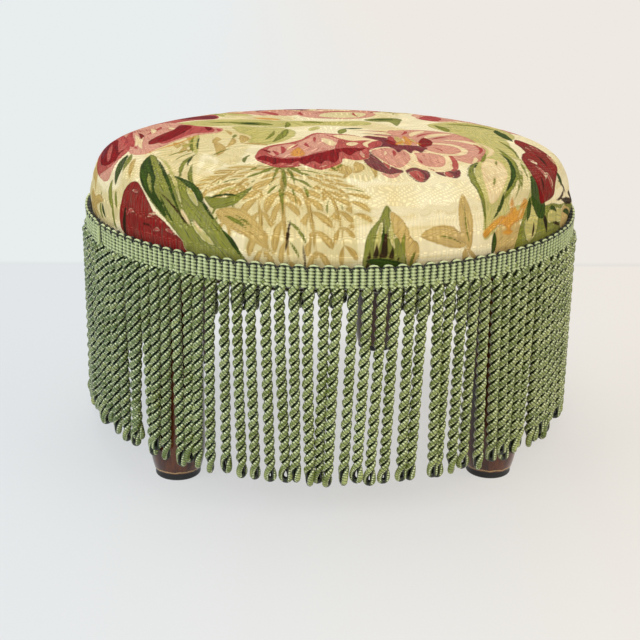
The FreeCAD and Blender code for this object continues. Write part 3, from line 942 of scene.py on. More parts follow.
PINK_BLOOM: Motif = (
    Patch(Ink.BLUSH, ((22, -8), (40, 8), (52, 24), (74, 30), (96, 22), (106, 8), (111, -12), (114, -40), (108, -62),
                      (102, -80), (92, -84), (84, -70), (60, -60), (36, -60), (24, -50), (24, -30)), 30),
    Patch(Ink.PLUM, ((24, -6), (36, -2), (44, -14), (46, -34), (44, -52), (34, -56), (27, -44), (30, -26)), 70),
    Stroke(Ink.CREAM, (24, 12), (52, 4), 7.0, 0.05, 0.5, 0.8),
    Stroke(Ink.CREAM, (24, 2), (46, -8), 5.0, 0.05, 0.5, 0.8),
    Stroke(Ink.ROSE, (20, 20), (52, 14), 3.0, 0.06, 0.5, 1.0),
    Stroke(Ink.PLUM, (22, 7), (54, -2), 2.4, 0.06, 0.5, 1.0),
    Stroke(Ink.BLUSH, (58, -6), (50, 26), 9.0, 0.1, 0.6, 0.8),
    Stroke(Ink.ROSE, (54, 4), (60, 26), 3.0, -0.1, 0.5, 1.0),
    Stroke(Ink.CREAM, (62, -2), (76, 26), 7.0, 0.1, 0.6, 0.8),
    Stroke(Ink.ROSE, (66, -4), (84, 20), 3.0, 0.1, 0.5, 1.0),
    Stroke(Ink.CREAM, (72, -8), (97, 18), 8.0, 0.12, 0.6, 0.8),
    Stroke(Ink.ROSE, (76, -12), (98, 8), 3.0, 0.1, 0.5, 1.0),
    Stroke(Ink.CREAM, (84, -10), (111, -34), 7.0, 0.3, 0.55, 0.8),
    Stroke(Ink.BLUSH, (84, -16), (106, -30), 6.0, 0.25, 0.5, 0.8),
    Stroke(Ink.CREAM, (110, -12), (109, -66), 4.6, 0.16, 0.5, 0.9),
    Stroke(Ink.ROSE, (104, -14), (103, -60), 2.4, 0.16, 0.5, 1.0),
    Stroke(Ink.BLUSH, (88, -62), (96, -88), 13.0, 0.0, 0.4, 0.7),
    Stroke(Ink.ROSE, (84, -62), (84, -88), 3.0, 0.0, 0.4, 1.0),
    Stroke(Ink.CREAM, (101, -64), (96, -86), 3.6, 0.1, 0.5, 1.0),
    Patch(Ink.PLUM, ((19, -66), (22, -58), (30, -62), (38, -82), (42, -104), (43, -118), (34, -124), (26, -116),
                     (20, -102), (18, -84)), 100),
    Stroke(Ink.ROSE, (27, -70), (34, -116), 3.4, 0.05, 0.5, 1.0),
    Patch(Ink.BLUSH, ((27, -119), (34, -124), (41, -119), (37, -131), (31, -132)), 90),
    Patch(Ink.PLUM, ((45, -112), (52, -104), (60, -110), (61, -124), (54, -138), (48, -132)), 90),
    Patch(Ink.ROSE, ((47, -118), (53, -112), (57, -122), (54, -137), (49, -130)), 90),
    Patch(Ink.PLUM, ((67, -110), (76, -104), (84, -104), (83, -118), (79, -127), (71, -125), (66, -118)), 90),
    Stroke(Ink.ROSE, (74, -110), (75, -127), 6.0, 0.0, 0.6, 0.8),
    Patch(Ink.ROSE, ((78, -62), (84, -64), (86, -84), (83, -106), (77, -110), (80, -90)), 95),
    Patch(Ink.CREAM, ((54, -100), (60, -92), (72, -98), (80, -96), (78, -108), (70, -114), (62, -112), (56, -108)), 40),
    Stroke(Ink.ROSE, (62, -104), (67, -113), 2.0, 0.0, 0.5, 1.0),
    Patch(Ink.CREAM, ((55, -58), (62, -54), (76, -58), (82, -68), (81, -92), (76, -104), (66, -104), (57, -96), (54, -76)), 90),
    Patch(Ink.BLUSH, ((56, -64), (64, -58), (76, -64), (78, -80), (74, -97), (67, -101), (60, -97), (56, -82)), 90),
    Stroke(Ink.ROSE, (58, -74), (60, -94), 2.2, 0.0, 0.5, 1.0),
    Patch(Ink.CREAM, ((28, -50), (38, -42), (50, -46), (57, -62), (57, -84), (50, -104), (44, -112), (37, -104), (30, -84), (26, -64)), 95),
    Patch(Ink.BLUSH, ((28, -54), (38, -46), (49, -50), (53, -64), (52, -82), (46, -100), (41, -106), (36, -98), (30, -80), (26, -66)), 95),
    Stroke(Ink.ROSE, (42, -50), (41, -74), 2.4, 0.05, 0.5, 1.0),
    Stroke(Ink.CREAM, (36, -54), (34, -72), 1.8, 0.05, 0.5, 1.0),
    Patch(Ink.CREAM, ((64, -26), (74, -22), (90, -24), (98, -36), (99, -50), (92, -63), (80, -65), (70, -58), (64, -44)), 60),
    Patch(Ink.BLUSH, ((66, -32), (76, -27), (88, -30), (94, -40), (93, -52), (86, -59), (76, -58), (68, -48)), 60),
    Stroke(Ink.ROSE, (72, -36), (80, -54), 2.0, 0.1, 0.5, 1.0),
    Patch(Ink.PLUM, ((40, -40), (50, -34), (64, -36), (70, -42), (66, -50), (63, -60), (59, -50), (55, -62), (51, -50),
                     (46, -60), (44, -48)), 90),
    Stroke(Ink.CRIMSON, (72, -2), (66, -40), 11.0, 0.05, 0.55, 0.8),
    Stroke(Ink.CRIMSON, (44, -10), (48, -38), 7.0, -0.1, 0.55, 0.9),
    Stroke(Ink.ROSE, (46, 0), (52, -30), 6.0, -0.1, 0.5, 0.9),
    Stroke(Ink.TAN, (50, 0), (52, -36), 6.5, 0.0, 0.5, 0.9),
    Stroke(Ink.AMBER, (57, 2), (57, -34), 7.5, 0.0, 0.55, 0.9),
    Stroke(Ink.AMBER, (56, -14), (47, -34), 3.0, 0.0, 0.6, 0.9),
    Stroke(Ink.AMBER, (58, -14), (66, -30), 3.2, 0.0, 0.6, 0.9),
    Stroke(Ink.TAN, (60, -6), (63, -22), 3.0, 0.0, 0.6, 0.9),
    Stroke(Ink.CREAM, (55, -8), (54, -26), 2.0, 0.0, 0.6, 0.9),
)

ROSE_SPRAY: Motif = (
    Patch(Ink.ROSE, ((-146, 96), (-120, 118), (-98, 116), (-90, 98), (-92, 82), (-112, 78), (-128, 66), (-146, 70)), 15),
    Patch(Ink.PLUM, ((-122, 112), (-104, 112), (-92, 98), (-93, 84), (-108, 84), (-122, 92)), 15),
    Stroke(Ink.CRIMSON, (-126, 94), (-94, 90), 5.0, 0.06, 0.5, 0.9),
    Patch(Ink.BLUSH, ((-164, 62), (-140, 76), (-122, 66), (-110, 50), (-92, 40), (-84, 30), (-88, 14), (-104, 6),
                      (-118, -12), (-130, -36), (-141, -50), (-151, -44), (-158, -12), (-166, 26)), 100),
    Patch(Ink.ROSE, ((-116, 56), (-106, 48), (-94, 40), (-92, 18), (-106, 14), (-117, -4), (-128, -22), (-134, -6),
                     (-126, 20)), 80),
    Patch(Ink.CRIMSON, ((-120, 56), (-110, 46), (-112, 30), (-118, 10), (-126, -10), (-138, -22), (-140, -8), (-134, 12),
                        (-124, 34)), 75),
    Stroke(Ink.CRIMSON, (-100, 44), (-96, 22), 5.0, 0.1, 0.5, 0.9),
    Stroke(Ink.ROSE, (-90, 34), (-88, 18), 4.0, 0.1, 0.5, 0.9),
    Stroke(Ink.ROSE, (-158, 50), (-146, -34), 6.5, -0.05, 0.5, 0.9),
    Stroke(Ink.CRIMSON, (-152, 36), (-147, 4), 3.6, 0.05, 0.5, 1.0),
    Stroke(Ink.ROSE, (-136, 62), (-146, 20), 5.0, 0.08, 0.5, 1.0),
    Stroke(Ink.CREAM, (-144, 56), (-140, 20), 4.2, 0.06, 0.5, 0.9),
    Stroke(Ink.CREAM, (-154, 30), (-150, -26), 3.4, 0.04, 0.5, 0.9),
    Stroke(Ink.CREAM, (-146, 14), (-143, -36), 3.0, -0.04, 0.5, 0.9),
    Stroke(Ink.CREAM, (-128, 48), (-124, 36), 5.0, 0.0, 0.5, 0.8),
    Stroke(Ink.AMBER, (-140, -50), (-104, 4), 3.0, -0.06, 0.5, 0.9),
    Patch(Ink.ROSE, ((-186, 20), (-184, -20), (-184, -42), (-180, -62), (-171, -77), (-164, -68), (-158, -52),
                     (-153, -30), (-158, 6), (-164, 34), (-174, 50)), 92),
    Patch(Ink.CRIMSON, ((-178, 20), (-179, -30), (-174, -50), (-166, -56), (-161, -44), (-164, -10), (-168, 20)), 92),
    Stroke(Ink.ROSE, (-171, 10), (-169, -50), 4.2, 0.0, 0.6, 0.9),
    Stroke(Ink.PLUM, (-176, 24), (-176, -34), 6.0, 0.0, 0.5, 0.9),
    Patch(Ink.BLUSH, ((-180, -56), (-174, -60), (-166, -62), (-159, -52), (-163, -67), (-171, -77), (-178, -68)), 92),
    Stroke(Ink.CRIMSON, (-156, -24), (-163, -60), 2.6, -0.05, 0.5, 1.0),
)

POPPY: Motif = (
    Patch(Ink.CRIMSON, ((-177, -119), (-172, -112), (-164, -109), (-158, -105), (-150, -103), (-144, -107), (-141, -117),
                        (-139, -132), (-138, -142), (-134, -150), (-129, -162), (-124, -174), (-120, -190), (-134, -196),
                        (-160, -170), (-180, -140)), 55),
    Stroke(Ink.SHADE, (-179, -130), (-160, -116), 5.0, 0.08, 0.35, 0.9),
    Stroke(Ink.CRIMSON, (-180, -124), (-166, -112), 4.0, 0.05, 0.5, 0.9),
    Stroke(Ink.ROSE, (-166, -122), (-156, -128), 2.6, 0.2, 0.5, 0.9),
    Stroke(Ink.ROSE, (-150, -112), (-146, -118), 2.2, 0.1, 0.5, 0.9),
    Stroke(Ink.ROSE, (-146, -140), (-140, -143), 2.0, 0.1, 0.5, 0.9),
    Stroke(Ink.BLUSH, (-140, -141), (-137, -144), 2.0, 0.0, 0.5, 0.8),
    Stroke(Ink.ROSE, (-146, -152), (-140, -156), 2.2, 0.2, 0.5, 0.9),
    Stroke(Ink.ROSE, (-135, -158), (-129, -166), 2.2, 0.1, 0.5, 0.9),
    Stroke(Ink.SHADE, (-154, -140), (-146, -150), 1.8, 0.1, 0.5, 0.9),
)

LONG_LEAVES: Motif = (
    Patch(Ink.LEAF, ((-119, -108), (-110, -124), (-102, -144), (-94, -164), (-88, -180), (-80, -198), (-76, -216),
                     (-96, -222), (-112, -200), (-124, -186), (-124, -168), (-126, -150), (-124, -128)), 112),
    Patch(Ink.LEAF, ((-135.5, -53), (-131, -62), (-128, -80), (-122, -104), (-118, -122), (-114, -140), (-110, -160),
                     (-114, -182), (-122, -178), (-128, -160), (-135, -140), (-140, -116), (-141.5, -94), (-139, -70)), 100),
    Patch(Ink.DEEP, ((-136, -56), (-134, -72), (-131, -92), (-129, -112), (-131, -126), (-128, -144), (-130, -152),
                     (-135, -136), (-140, -116), (-141, -94), (-139, -72)), 98),
    Stroke(Ink.DEEP, (-116, -168), (-131, -66), 3.0, -0.03, 0.5, 1.0),
    Stroke(Ink.PALE, (-113, -158), (-131, -60), 2.6, -0.05, 0.5, 0.9),
    Stroke(Ink.DEEP, (-128, -132), (-125, -164), 2.0, 0.0, 0.5, 1.0),
    Stroke(Ink.SHADE, (-130, -126), (-113, -172), 1.8, 0.04, 0.6, 1.0),
    Stroke(Ink.LEAF, (-134, -100), (-134, -128), 3.0, 0.0, 0.5, 0.9),
    Stroke(Ink.DEEP, (-119, -109), (-97, -156), 6.0, 0.06, 0.72, 0.8),
    Stroke(Ink.DEEP, (-98, -152), (-91, -176), 2.6, 0.0, 0.4, 1.0),
    Stroke(Ink.DEEP, (-90, -178), (-80, -204), 3.4, 0.04, 0.5, 1.0),
    Stroke(Ink.CREAM, (-115, -152), (-112, -168), 3.0, 0.0, 0.5, 0.9),
    Stroke(Ink.PALE, (-110, -164), (-98, -188), 5.0, -0.06, 0.5, 0.9),
    Stroke(Ink.CREAM, (-108, -164), (-104, -178), 2.0, -0.05, 0.5, 1.0),
    Stroke(Ink.PALE, (-106, -136), (-101, -158), 4.0, 0.0, 0.5, 0.9),
    Stroke(Ink.LEAF, (-112, -184), (-94, -208), 4.0, 0.0, 0.5, 0.9),
    Patch(Ink.LEAF, ((-94, -152), (-84, -157), (-74, -157), (-66, -152), (-61, -146), (-64, -156), (-72, -165),
                     (-84, -166), (-92, -162)), 0),
    Stroke(Ink.DEEP, (-93, -155), (-70, -160), 2.6, 0.12, 0.5, 1.0),
    Stroke(Ink.PALE, (-84, -154), (-67, -148), 2.4, 0.2, 0.5, 0.9),
    Patch(Ink.TAN, ((-88, -166), (-76, -168), (-66, -176), (-59, -190), (-58, -202), (-68, -194), (-80, -184), (-88, -174)), -50),
    Stroke(Ink.LEAF, (-84, -172), (-70, -186), 3.0, 0.05, 0.5, 1.0),
    Stroke(Ink.LEAF, (-76, -174), (-66, -186), 1.8, 0.05, 0.5, 1.0),
)

STEMS: Motif = (
    Stroke(Ink.PALE, (-104, 10), (-101, -66), 7.0, -0.03, 0.4, 0.8),
    Stroke(Ink.LEAF, (-106, 6), (-104, -60), 2.6, -0.03, 0.5, 1.0),
    Stroke(Ink.DEEP, (-101, 0), (-101, -50), 1.8, -0.03, 0.5, 1.0),
    Stroke(Ink.LEAF, (-101, -60), (-110, -122), 3.4, -0.07, 0.5, 0.9),
    Stroke(Ink.DEEP, (-102, -62), (-106, -106), 1.6, -0.05, 0.5, 1.0),
    Stroke(Ink.LEAF, (-103, -90), (-98, -154), 3.2, -0.05, 0.5, 0.9),
    Stroke(Ink.LEAF, (-124, -72), (-104, -46), 2.4, 0.1, 0.5, 0.9),
    Stroke(Ink.LEAF, (-116, -80), (-102, -56), 2.2, 0.1, 0.5, 0.9),
    Stroke(Ink.PALE, (-112, -42), (-104, -20), 3.0, 0.1, 0.5, 0.9),
    Stroke(Ink.LEAF, (-90, -70), (-76, -46), 1.8, 0.05, 0.5, 0.9),
    Stroke(Ink.LEAF, (-66, -95), (-62, -68), 3.0, 0.1, 0.5, 0.9),
    Stroke(Ink.DEEP, (-165, -92), (-153, -46), 8.0, -0.05, 0.5, 0.9),
    Stroke(Ink.LEAF, (-156, -84), (-150, -44), 4.4, -0.04, 0.5, 0.9),
    Stroke(Ink.LEAF, (-178, -104), (-166, -82), 7.0, 0.1, 0.5, 0.8),
    Stroke(Ink.LEAF, (-174, -108), (-166, -96), 4.0, 0.0, 0.5, 0.8),
    Stroke(Ink.DEEP, (-192, -96), (-188, -82), 4.0, 0.1, 0.5, 0.9),
    Stroke(Ink.LEAF, (-198, -90), (-184, -74), 5.0, 0.1, 0.5, 0.8),
    Stroke(Ink.LEAF, (-186, -118), (-176, -100), 3.6, 0.1, 0.5, 0.9),
    Stroke(Ink.TAN, (-206, -60), (-186, -84), 7.0, 0.1, 0.5, 0.8),
    Stroke(Ink.TAN, (-150, -98), (-146, -60), 4.0, 0.0, 0.5, 0.8),
)

HEART_LEAF: Motif = (
    Patch(Ink.LEAF, ((26.5, -176), (32, -183), (42, -190), (47, -197), (53, -200), (56, -211), (53, -226), (34, -236),
                     (14, -228), (13, -208), (16, -196), (22, -187)), 90),
    Patch(Ink.TAN, ((29, -181), (36, -184), (42, -190), (47, -197), (53, -200), (55, -210), (50, -216), (44, -208),
                    (38, -200), (32, -194)), 60),
    Stroke(Ink.PALE, (21, -214), (24, -188), 4.0, 0.0, 0.5, 0.9),
    Stroke(Ink.PALE, (36, -206), (31, -188), 3.4, 0.1, 0.5, 0.9),
    Stroke(Ink.LEAF, (45, -216), (41, -194), 3.4, 0.05, 0.5, 0.9),
    Stroke(Ink.LEAF, (52, -218), (51, -204), 2.8, 0.05, 0.5, 0.9),
    Stroke(Ink.DEEP, (26, -214), (26, -186), 2.4, 0.0, 0.4, 1.0),
    Stroke(Ink.SHADE, (28, -224), (28, -191), 6.0, 0.0, 0.32, 1.1),
    Stroke(Ink.SHADE, (22, -224), (22, -203), 5.0, 0.0, 0.4, 1.1),
    Stroke(Ink.SHADE, (17, -224), (17, -208), 4.0, 0.0, 0.4, 1.1),
    Stroke(Ink.SHADE, (34, -224), (34, -202), 5.0, 0.0, 0.4, 1.1),
    Stroke(Ink.SHADE, (39, -224), (40, -209), 4.0, 0.0, 0.4, 1.1),
    Stroke(Ink.SHADE, (45, -224), (46, -212), 3.4, 0.0, 0.4, 1.1),
    Stroke(Ink.DEEP, (14, -216), (54, -218), 8.0, 0.0, 0.5, 0.8),
)

SPRIG: Motif = (
    Stroke(Ink.TAN, (112, -196), (88, -189), 3.5, 0.0, 0.3, 0.8),
    Stroke(Ink.TAN, (97, -190), (80, -152), 12.0, 0.1, 0.42, 0.85),
    Stroke(Ink.TAN, (92, -190), (52, -195), 14.0, -0.08, 0.42, 0.85),
    Stroke(Ink.LEAF, (96, -188), (81, -160), 1.5, 0.1, 0.4, 0.9),
    Stroke(Ink.LEAF, (88, -190), (60, -194), 1.5, -0.08, 0.4, 0.9),
    Stroke(Ink.TAN, (100, -200), (92, -190), 6.0, 0.1, 0.4, 0.9),
)

TULIP_LEAF: Motif = (
    Patch(Ink.PALE, ((112, 36), (128, 30), (138, 4), (136, -30), (137, -62), (138, -100), (138, -136), (132, -156),
                     (118, -166), (107, -179), (99, -166), (93, -148), (91, -128), (95, -104), (101, -78), (108, -44),
                     (108, -4)), 95),
    Patch(Ink.CREAM, ((108, -70), (118, -74), (119, -100), (114, -124), (107, -148), (101, -152), (98, -130), (101, -98)), 98),
    Patch(Ink.WASH, ((124, -60), (134, -64), (136, -100), (134, -130), (126, -142), (118, -146), (120, -118), (124, -90)), 92),
    Stroke(Ink.DEEP, (102, -80), (97, -158), 5.4, -0.12, 0.4, 1.0),
    Stroke(Ink.LEAF, (103, -76), (106, -176), 5.0, -0.14, 0.5, 1.0),
    Stroke(Ink.LEAF, (112, -46), (104, -84), 4.0, 0.0, 0.5, 0.9),
    Stroke(Ink.LEAF, (123, -24), (110, -150), 6.5, 0.08, 0.55, 1.0),
    Stroke(Ink.DEEP, (122, -40), (112, -140), 3.6, 0.08, 0.6, 1.0),
    Stroke(Ink.DEEP, (112, -138), (107, -166), 3.0, 0.05, 0.4, 1.0),
    Stroke(Ink.LEAF, (116, -72), (113, -90), 1.8, 0.0, 0.5, 1.0),
    Stroke(Ink.LEAF, (108, -112), (104, -136), 2.0, 0.0, 0.5, 1.0),
    Stroke(Ink.LEAF, (127, -76), (122, -140), 2.2, 0.04, 0.5, 1.0),
    Stroke(Ink.LEAF, (131, -90), (127, -128), 1.8, 0.0, 0.5, 1.0),
    Stroke(Ink.LEAF, (130, 4), (136, -60), 3.0, 0.04, 0.5, 1.0),
    Stroke(Ink.LEAF, (134, -66), (134, -110), 2.0, 0.0, 0.5, 1.0),
    Patch(Ink.TAN, ((120, -150), (132, -150), (142, -156), (147, -164), (138, -178), (122, -182), (114, -172)), 60),
    Patch(Ink.AMBER, ((131, -132), (136, -134), (136, -146), (130, -154), (126, -162), (116, -164), (108, -177), (104, -175),
                      (112, -160), (120, -154), (124, -144), (128, -146)), 60),
    Stroke(Ink.AMBER, (122, -152), (120, -138), 3.6, 0.0, 0.5, 0.9),
    Stroke(Ink.AMBER, (132, -160), (120, -168), 4.0, 0.0, 0.5, 0.9),
    Stroke(Ink.CREAM, (132, -140), (131, -150), 1.6, 0.0, 0.5, 0.9),
    Stroke(Ink.DEEP, (113, -170), (121, -186), 5.0, 0.05, 0.5, 0.8),
)

BUD: Motif = (
    Patch(Ink.DEEP, ((138, -98), (146, -112), (156, -120), (160, -128), (150, -134), (140, -130), (136, -116)), 100),
    Patch(Ink.CRIMSON, ((148, 14), (154, 8), (159, -4), (163, -18), (168, -38), (168, -58), (165, -74), (163, -90),
                        (163, -102), (157, -114), (149, -123), (143, -112), (139, -98), (137, -78), (138, -58), (141, -44),
                        (146, -32), (145, -14), (144, 2)), 98),
    Stroke(Ink.ROSE, (155, -2), (160, -28), 3.0, 0.0, 0.5, 1.0),
    Stroke(Ink.ROSE, (150, -12), (152, -26), 2.2, 0.0, 0.5, 1.0),
    Stroke(Ink.ROSE, (165, -26), (168, -52), 3.4, -0.05, 0.5, 1.0),
    Stroke(Ink.BLUSH, (166, -34), (167, -44), 1.8, 0.0, 0.5, 1.0),
    Stroke(Ink.ROSE, (143, -52), (147, -70), 3.4, 0.05, 0.5, 1.0),
    Stroke(Ink.BLUSH, (145, -58), (147, -68), 1.6, 0.0, 0.5, 1.0),
    Stroke(Ink.ROSE, (145, -72), (152, -92), 3.0, 0.05, 0.5, 1.0),
    Stroke(Ink.ROSE, (154, -80), (160, -98), 3.4, -0.05, 0.5, 1.0),
    Stroke(Ink.BLUSH, (157, -86), (160, -94), 1.6, 0.0, 0.5, 1.0),
    Stroke(Ink.SHADE, (152, -34), (156, -72), 2.6, 0.03, 0.5, 1.0),
    Stroke(Ink.SHADE, (146, -90), (150, -112), 2.2, 0.0, 0.5, 1.0),
)

DARK_LEAVES: Motif = (
    Patch(Ink.LEAF, ((137, -126), (150, -124), (166, -108), (180, -92), (196, -66), (210, -52), (226, -60), (226, -110),
                     (200, -140), (170, -170), (146, -176), (136, -150)), 50),
    Patch(Ink.PALE, ((164, -114), (176, -102), (190, -86), (190, -98), (180, -112), (168, -124)), 45),
    Patch(Ink.TAN, ((184, -90), (198, -72), (214, -62), (218, -78), (204, -92), (190, -104)), 45),
    Patch(Ink.PALE, ((138, -134), (150, -132), (158, -142), (154, -154), (142, -150)), 30),
    Stroke(Ink.SHADE, (156, -127), (173, -131), 5.6, 0.08, 0.5, 0.9),
    Stroke(Ink.SHADE, (147, -116), (160, -124), 3.4, -0.1, 0.5, 1.0),
    Stroke(Ink.SHADE, (140, -118), (148, -132), 6.0, 0.0, 0.5, 0.9),
    Stroke(Ink.DEEP, (136, -128), (142, -146), 5.0, 0.0, 0.5, 0.9),
    Stroke(Ink.SHADE, (166, -80), (184, -76), 3.6, 0.1, 0.5, 1.0),
    Stroke(Ink.SHADE, (169, -101), (177, -74), 3.2, -0.1, 0.5, 1.0),
    Stroke(Ink.DEEP, (166, -66), (172, -80), 7.0, 0.0, 0.5, 0.8),
    Stroke(Ink.SHADE, (176, -92), (202, -52), 5.0, -0.04, 0.5, 1.0),
    Stroke(Ink.SHADE, (188, -66), (206, -48), 7.0, 0.05, 0.5, 0.9),
    Stroke(Ink.DEEP, (186, -94), (210, -66), 4.0, 0.05, 0.5, 1.0),
    Stroke(Ink.SHADE, (176, -118), (192, -104), 2.4, 0.05, 0.5, 1.0),
    Stroke(Ink.DEEP, (162, -118), (176, -106), 3.0, 0.1, 0.5, 1.0),
    Stroke(Ink.SHADE, (150, -140), (156, -150), 2.6, 0.1, 0.5, 1.0),
)

TOP_LEAVES: Motif = (
    Patch(Ink.BLUSH, ((-70, 128), (-56, 134), (-36, 136), (-22, 120), (-26, 98), (-44, 96), (-62, 106)), 80),
    Patch(Ink.WASH, ((-84, 104), (-66, 98), (-40, 98), (-26, 84), (-32, 66), (-56, 66), (-80, 84)), 20),
    Stroke(Ink.ROSE, (-58, 128), (-40, 96), 8.0, 0.1, 0.5, 0.8),
    Stroke(Ink.AMBER, (-60, 84), (-38, 70), 9.0, 0.05, 0.5, 0.8),
    Patch(Ink.BLUSH, ((-24, 124), (-4, 132), (28, 130), (44, 118), (40, 96), (24, 80), (-4, 80), (-20, 92)), 85),
    Patch(Ink.WASH, ((0, 112), (16, 122), (36, 116), (30, 92), (12, 84), (-4, 92)), 85),
    Stroke(Ink.ROSE, (-8, 112), (30, 126), 4.0, 0.12, 0.5, 0.9),
    Stroke(Ink.ROSE, (-20, 122), (-18, 96), 3.6, -0.05, 0.5, 0.9),
    Stroke(Ink.ROSE, (26, 120), (28, 92), 3.0, -0.05, 0.5, 0.9),
    Patch(Ink.PALE, ((-122, 66), (-104, 76), (-76, 78), (-40, 66), (-18, 66), (4, 62), (30, 68), (36, 52), (20, 42),
                     (-14, 42), (-34, 34), (-64, 42), (-96, 46), (-114, 54)), 5),
    Stroke(Ink.LEAF, (-80, 60), (-44, 44), 15.0, 0.05, 0.5, 0.8),
    Stroke(Ink.DEEP, (-72, 56), (-54, 48), 6.0, 0.05, 0.5, 0.8),
    Stroke(Ink.LEAF, (-98, 60), (-70, 62), 5.0, 0.05, 0.5, 0.9),
    Stroke(Ink.LEAF, (-22, 60), (-2, 54), 9.0, 0.05, 0.5, 0.9),
    Stroke(Ink.LEAF, (-33, 62), (-35, 30), 4.6, 0.05, 0.5, 0.9),
    Patch(Ink.PALE, ((-76, 40), (-58, 38), (-38, 30), (-28, 16), (-30, -8), (-42, -30), (-56, -38), (-64, -26), (-62, -4),
                     (-72, 14)), 60),
    Stroke(Ink.LEAF, (-34, 28), (-46, -28), 6.5, 0.04, 0.5, 0.9),
    Stroke(Ink.LEAF, (-44, 18), (-52, -20), 3.4, 0.04, 0.5, 0.9),
    Stroke(Ink.LEAF, (-74, 6), (-76, -12), 3.0, 0.0, 0.5, 0.9),
    Stroke(Ink.TAN, (-70, -30), (-48, -40), 6.0, 0.1, 0.5, 0.9),
    Patch(Ink.LEAF, ((31, 74), (40, 84), (54, 90), (64, 84), (62, 70), (56, 46), (52, 66), (40, 66)), 20),
    Stroke(Ink.DEEP, (36, 74), (58, 80), 6.0, 0.05, 0.5, 0.8),
    Stroke(Ink.LEAF, (7, 4), (12, 28), 7.0, 0.0, 0.5, 0.8),
    Stroke(Ink.DEEP, (10, 26), (28, 30), 5.0, 0.05, 0.5, 0.9),
    Stroke(Ink.PALE, (-16, 16), (-8, 38), 8.0, 0.0, 0.5, 0.9),
    Patch(Ink.BLUSH, ((78, 92), (84, 116), (96, 124), (108, 116), (120, 104), (112, 90), (94, 78)), 100),
    Patch(Ink.ROSE, ((80, 92), (88, 112), (98, 116), (100, 98), (92, 80)), 100),
    Stroke(Ink.BLUSH, (116, 96), (142, 80), 12.0, 0.05, 0.5, 0.8),
    Patch(Ink.PALE, ((84, 62), (100, 76), (124, 80), (142, 72), (150, 50), (148, 20), (138, 4), (122, 6), (104, 0),
                     (100, 20), (92, 30), (84, 46)), 100),
    Stroke(Ink.LEAF, (98, 66), (142, 58), 7.0, 0.08, 0.5, 0.9),
    Stroke(Ink.LEAF, (88, 58), (95, 26), 8.0, 0.06, 0.5, 0.8),
    Stroke(Ink.DEEP, (140, 60), (143, 2), 9.0, -0.04, 0.5, 0.8),
    Stroke(Ink.LEAF, (110, 4), (116, -26), 6.0, 0.0, 0.4, 0.9),
)


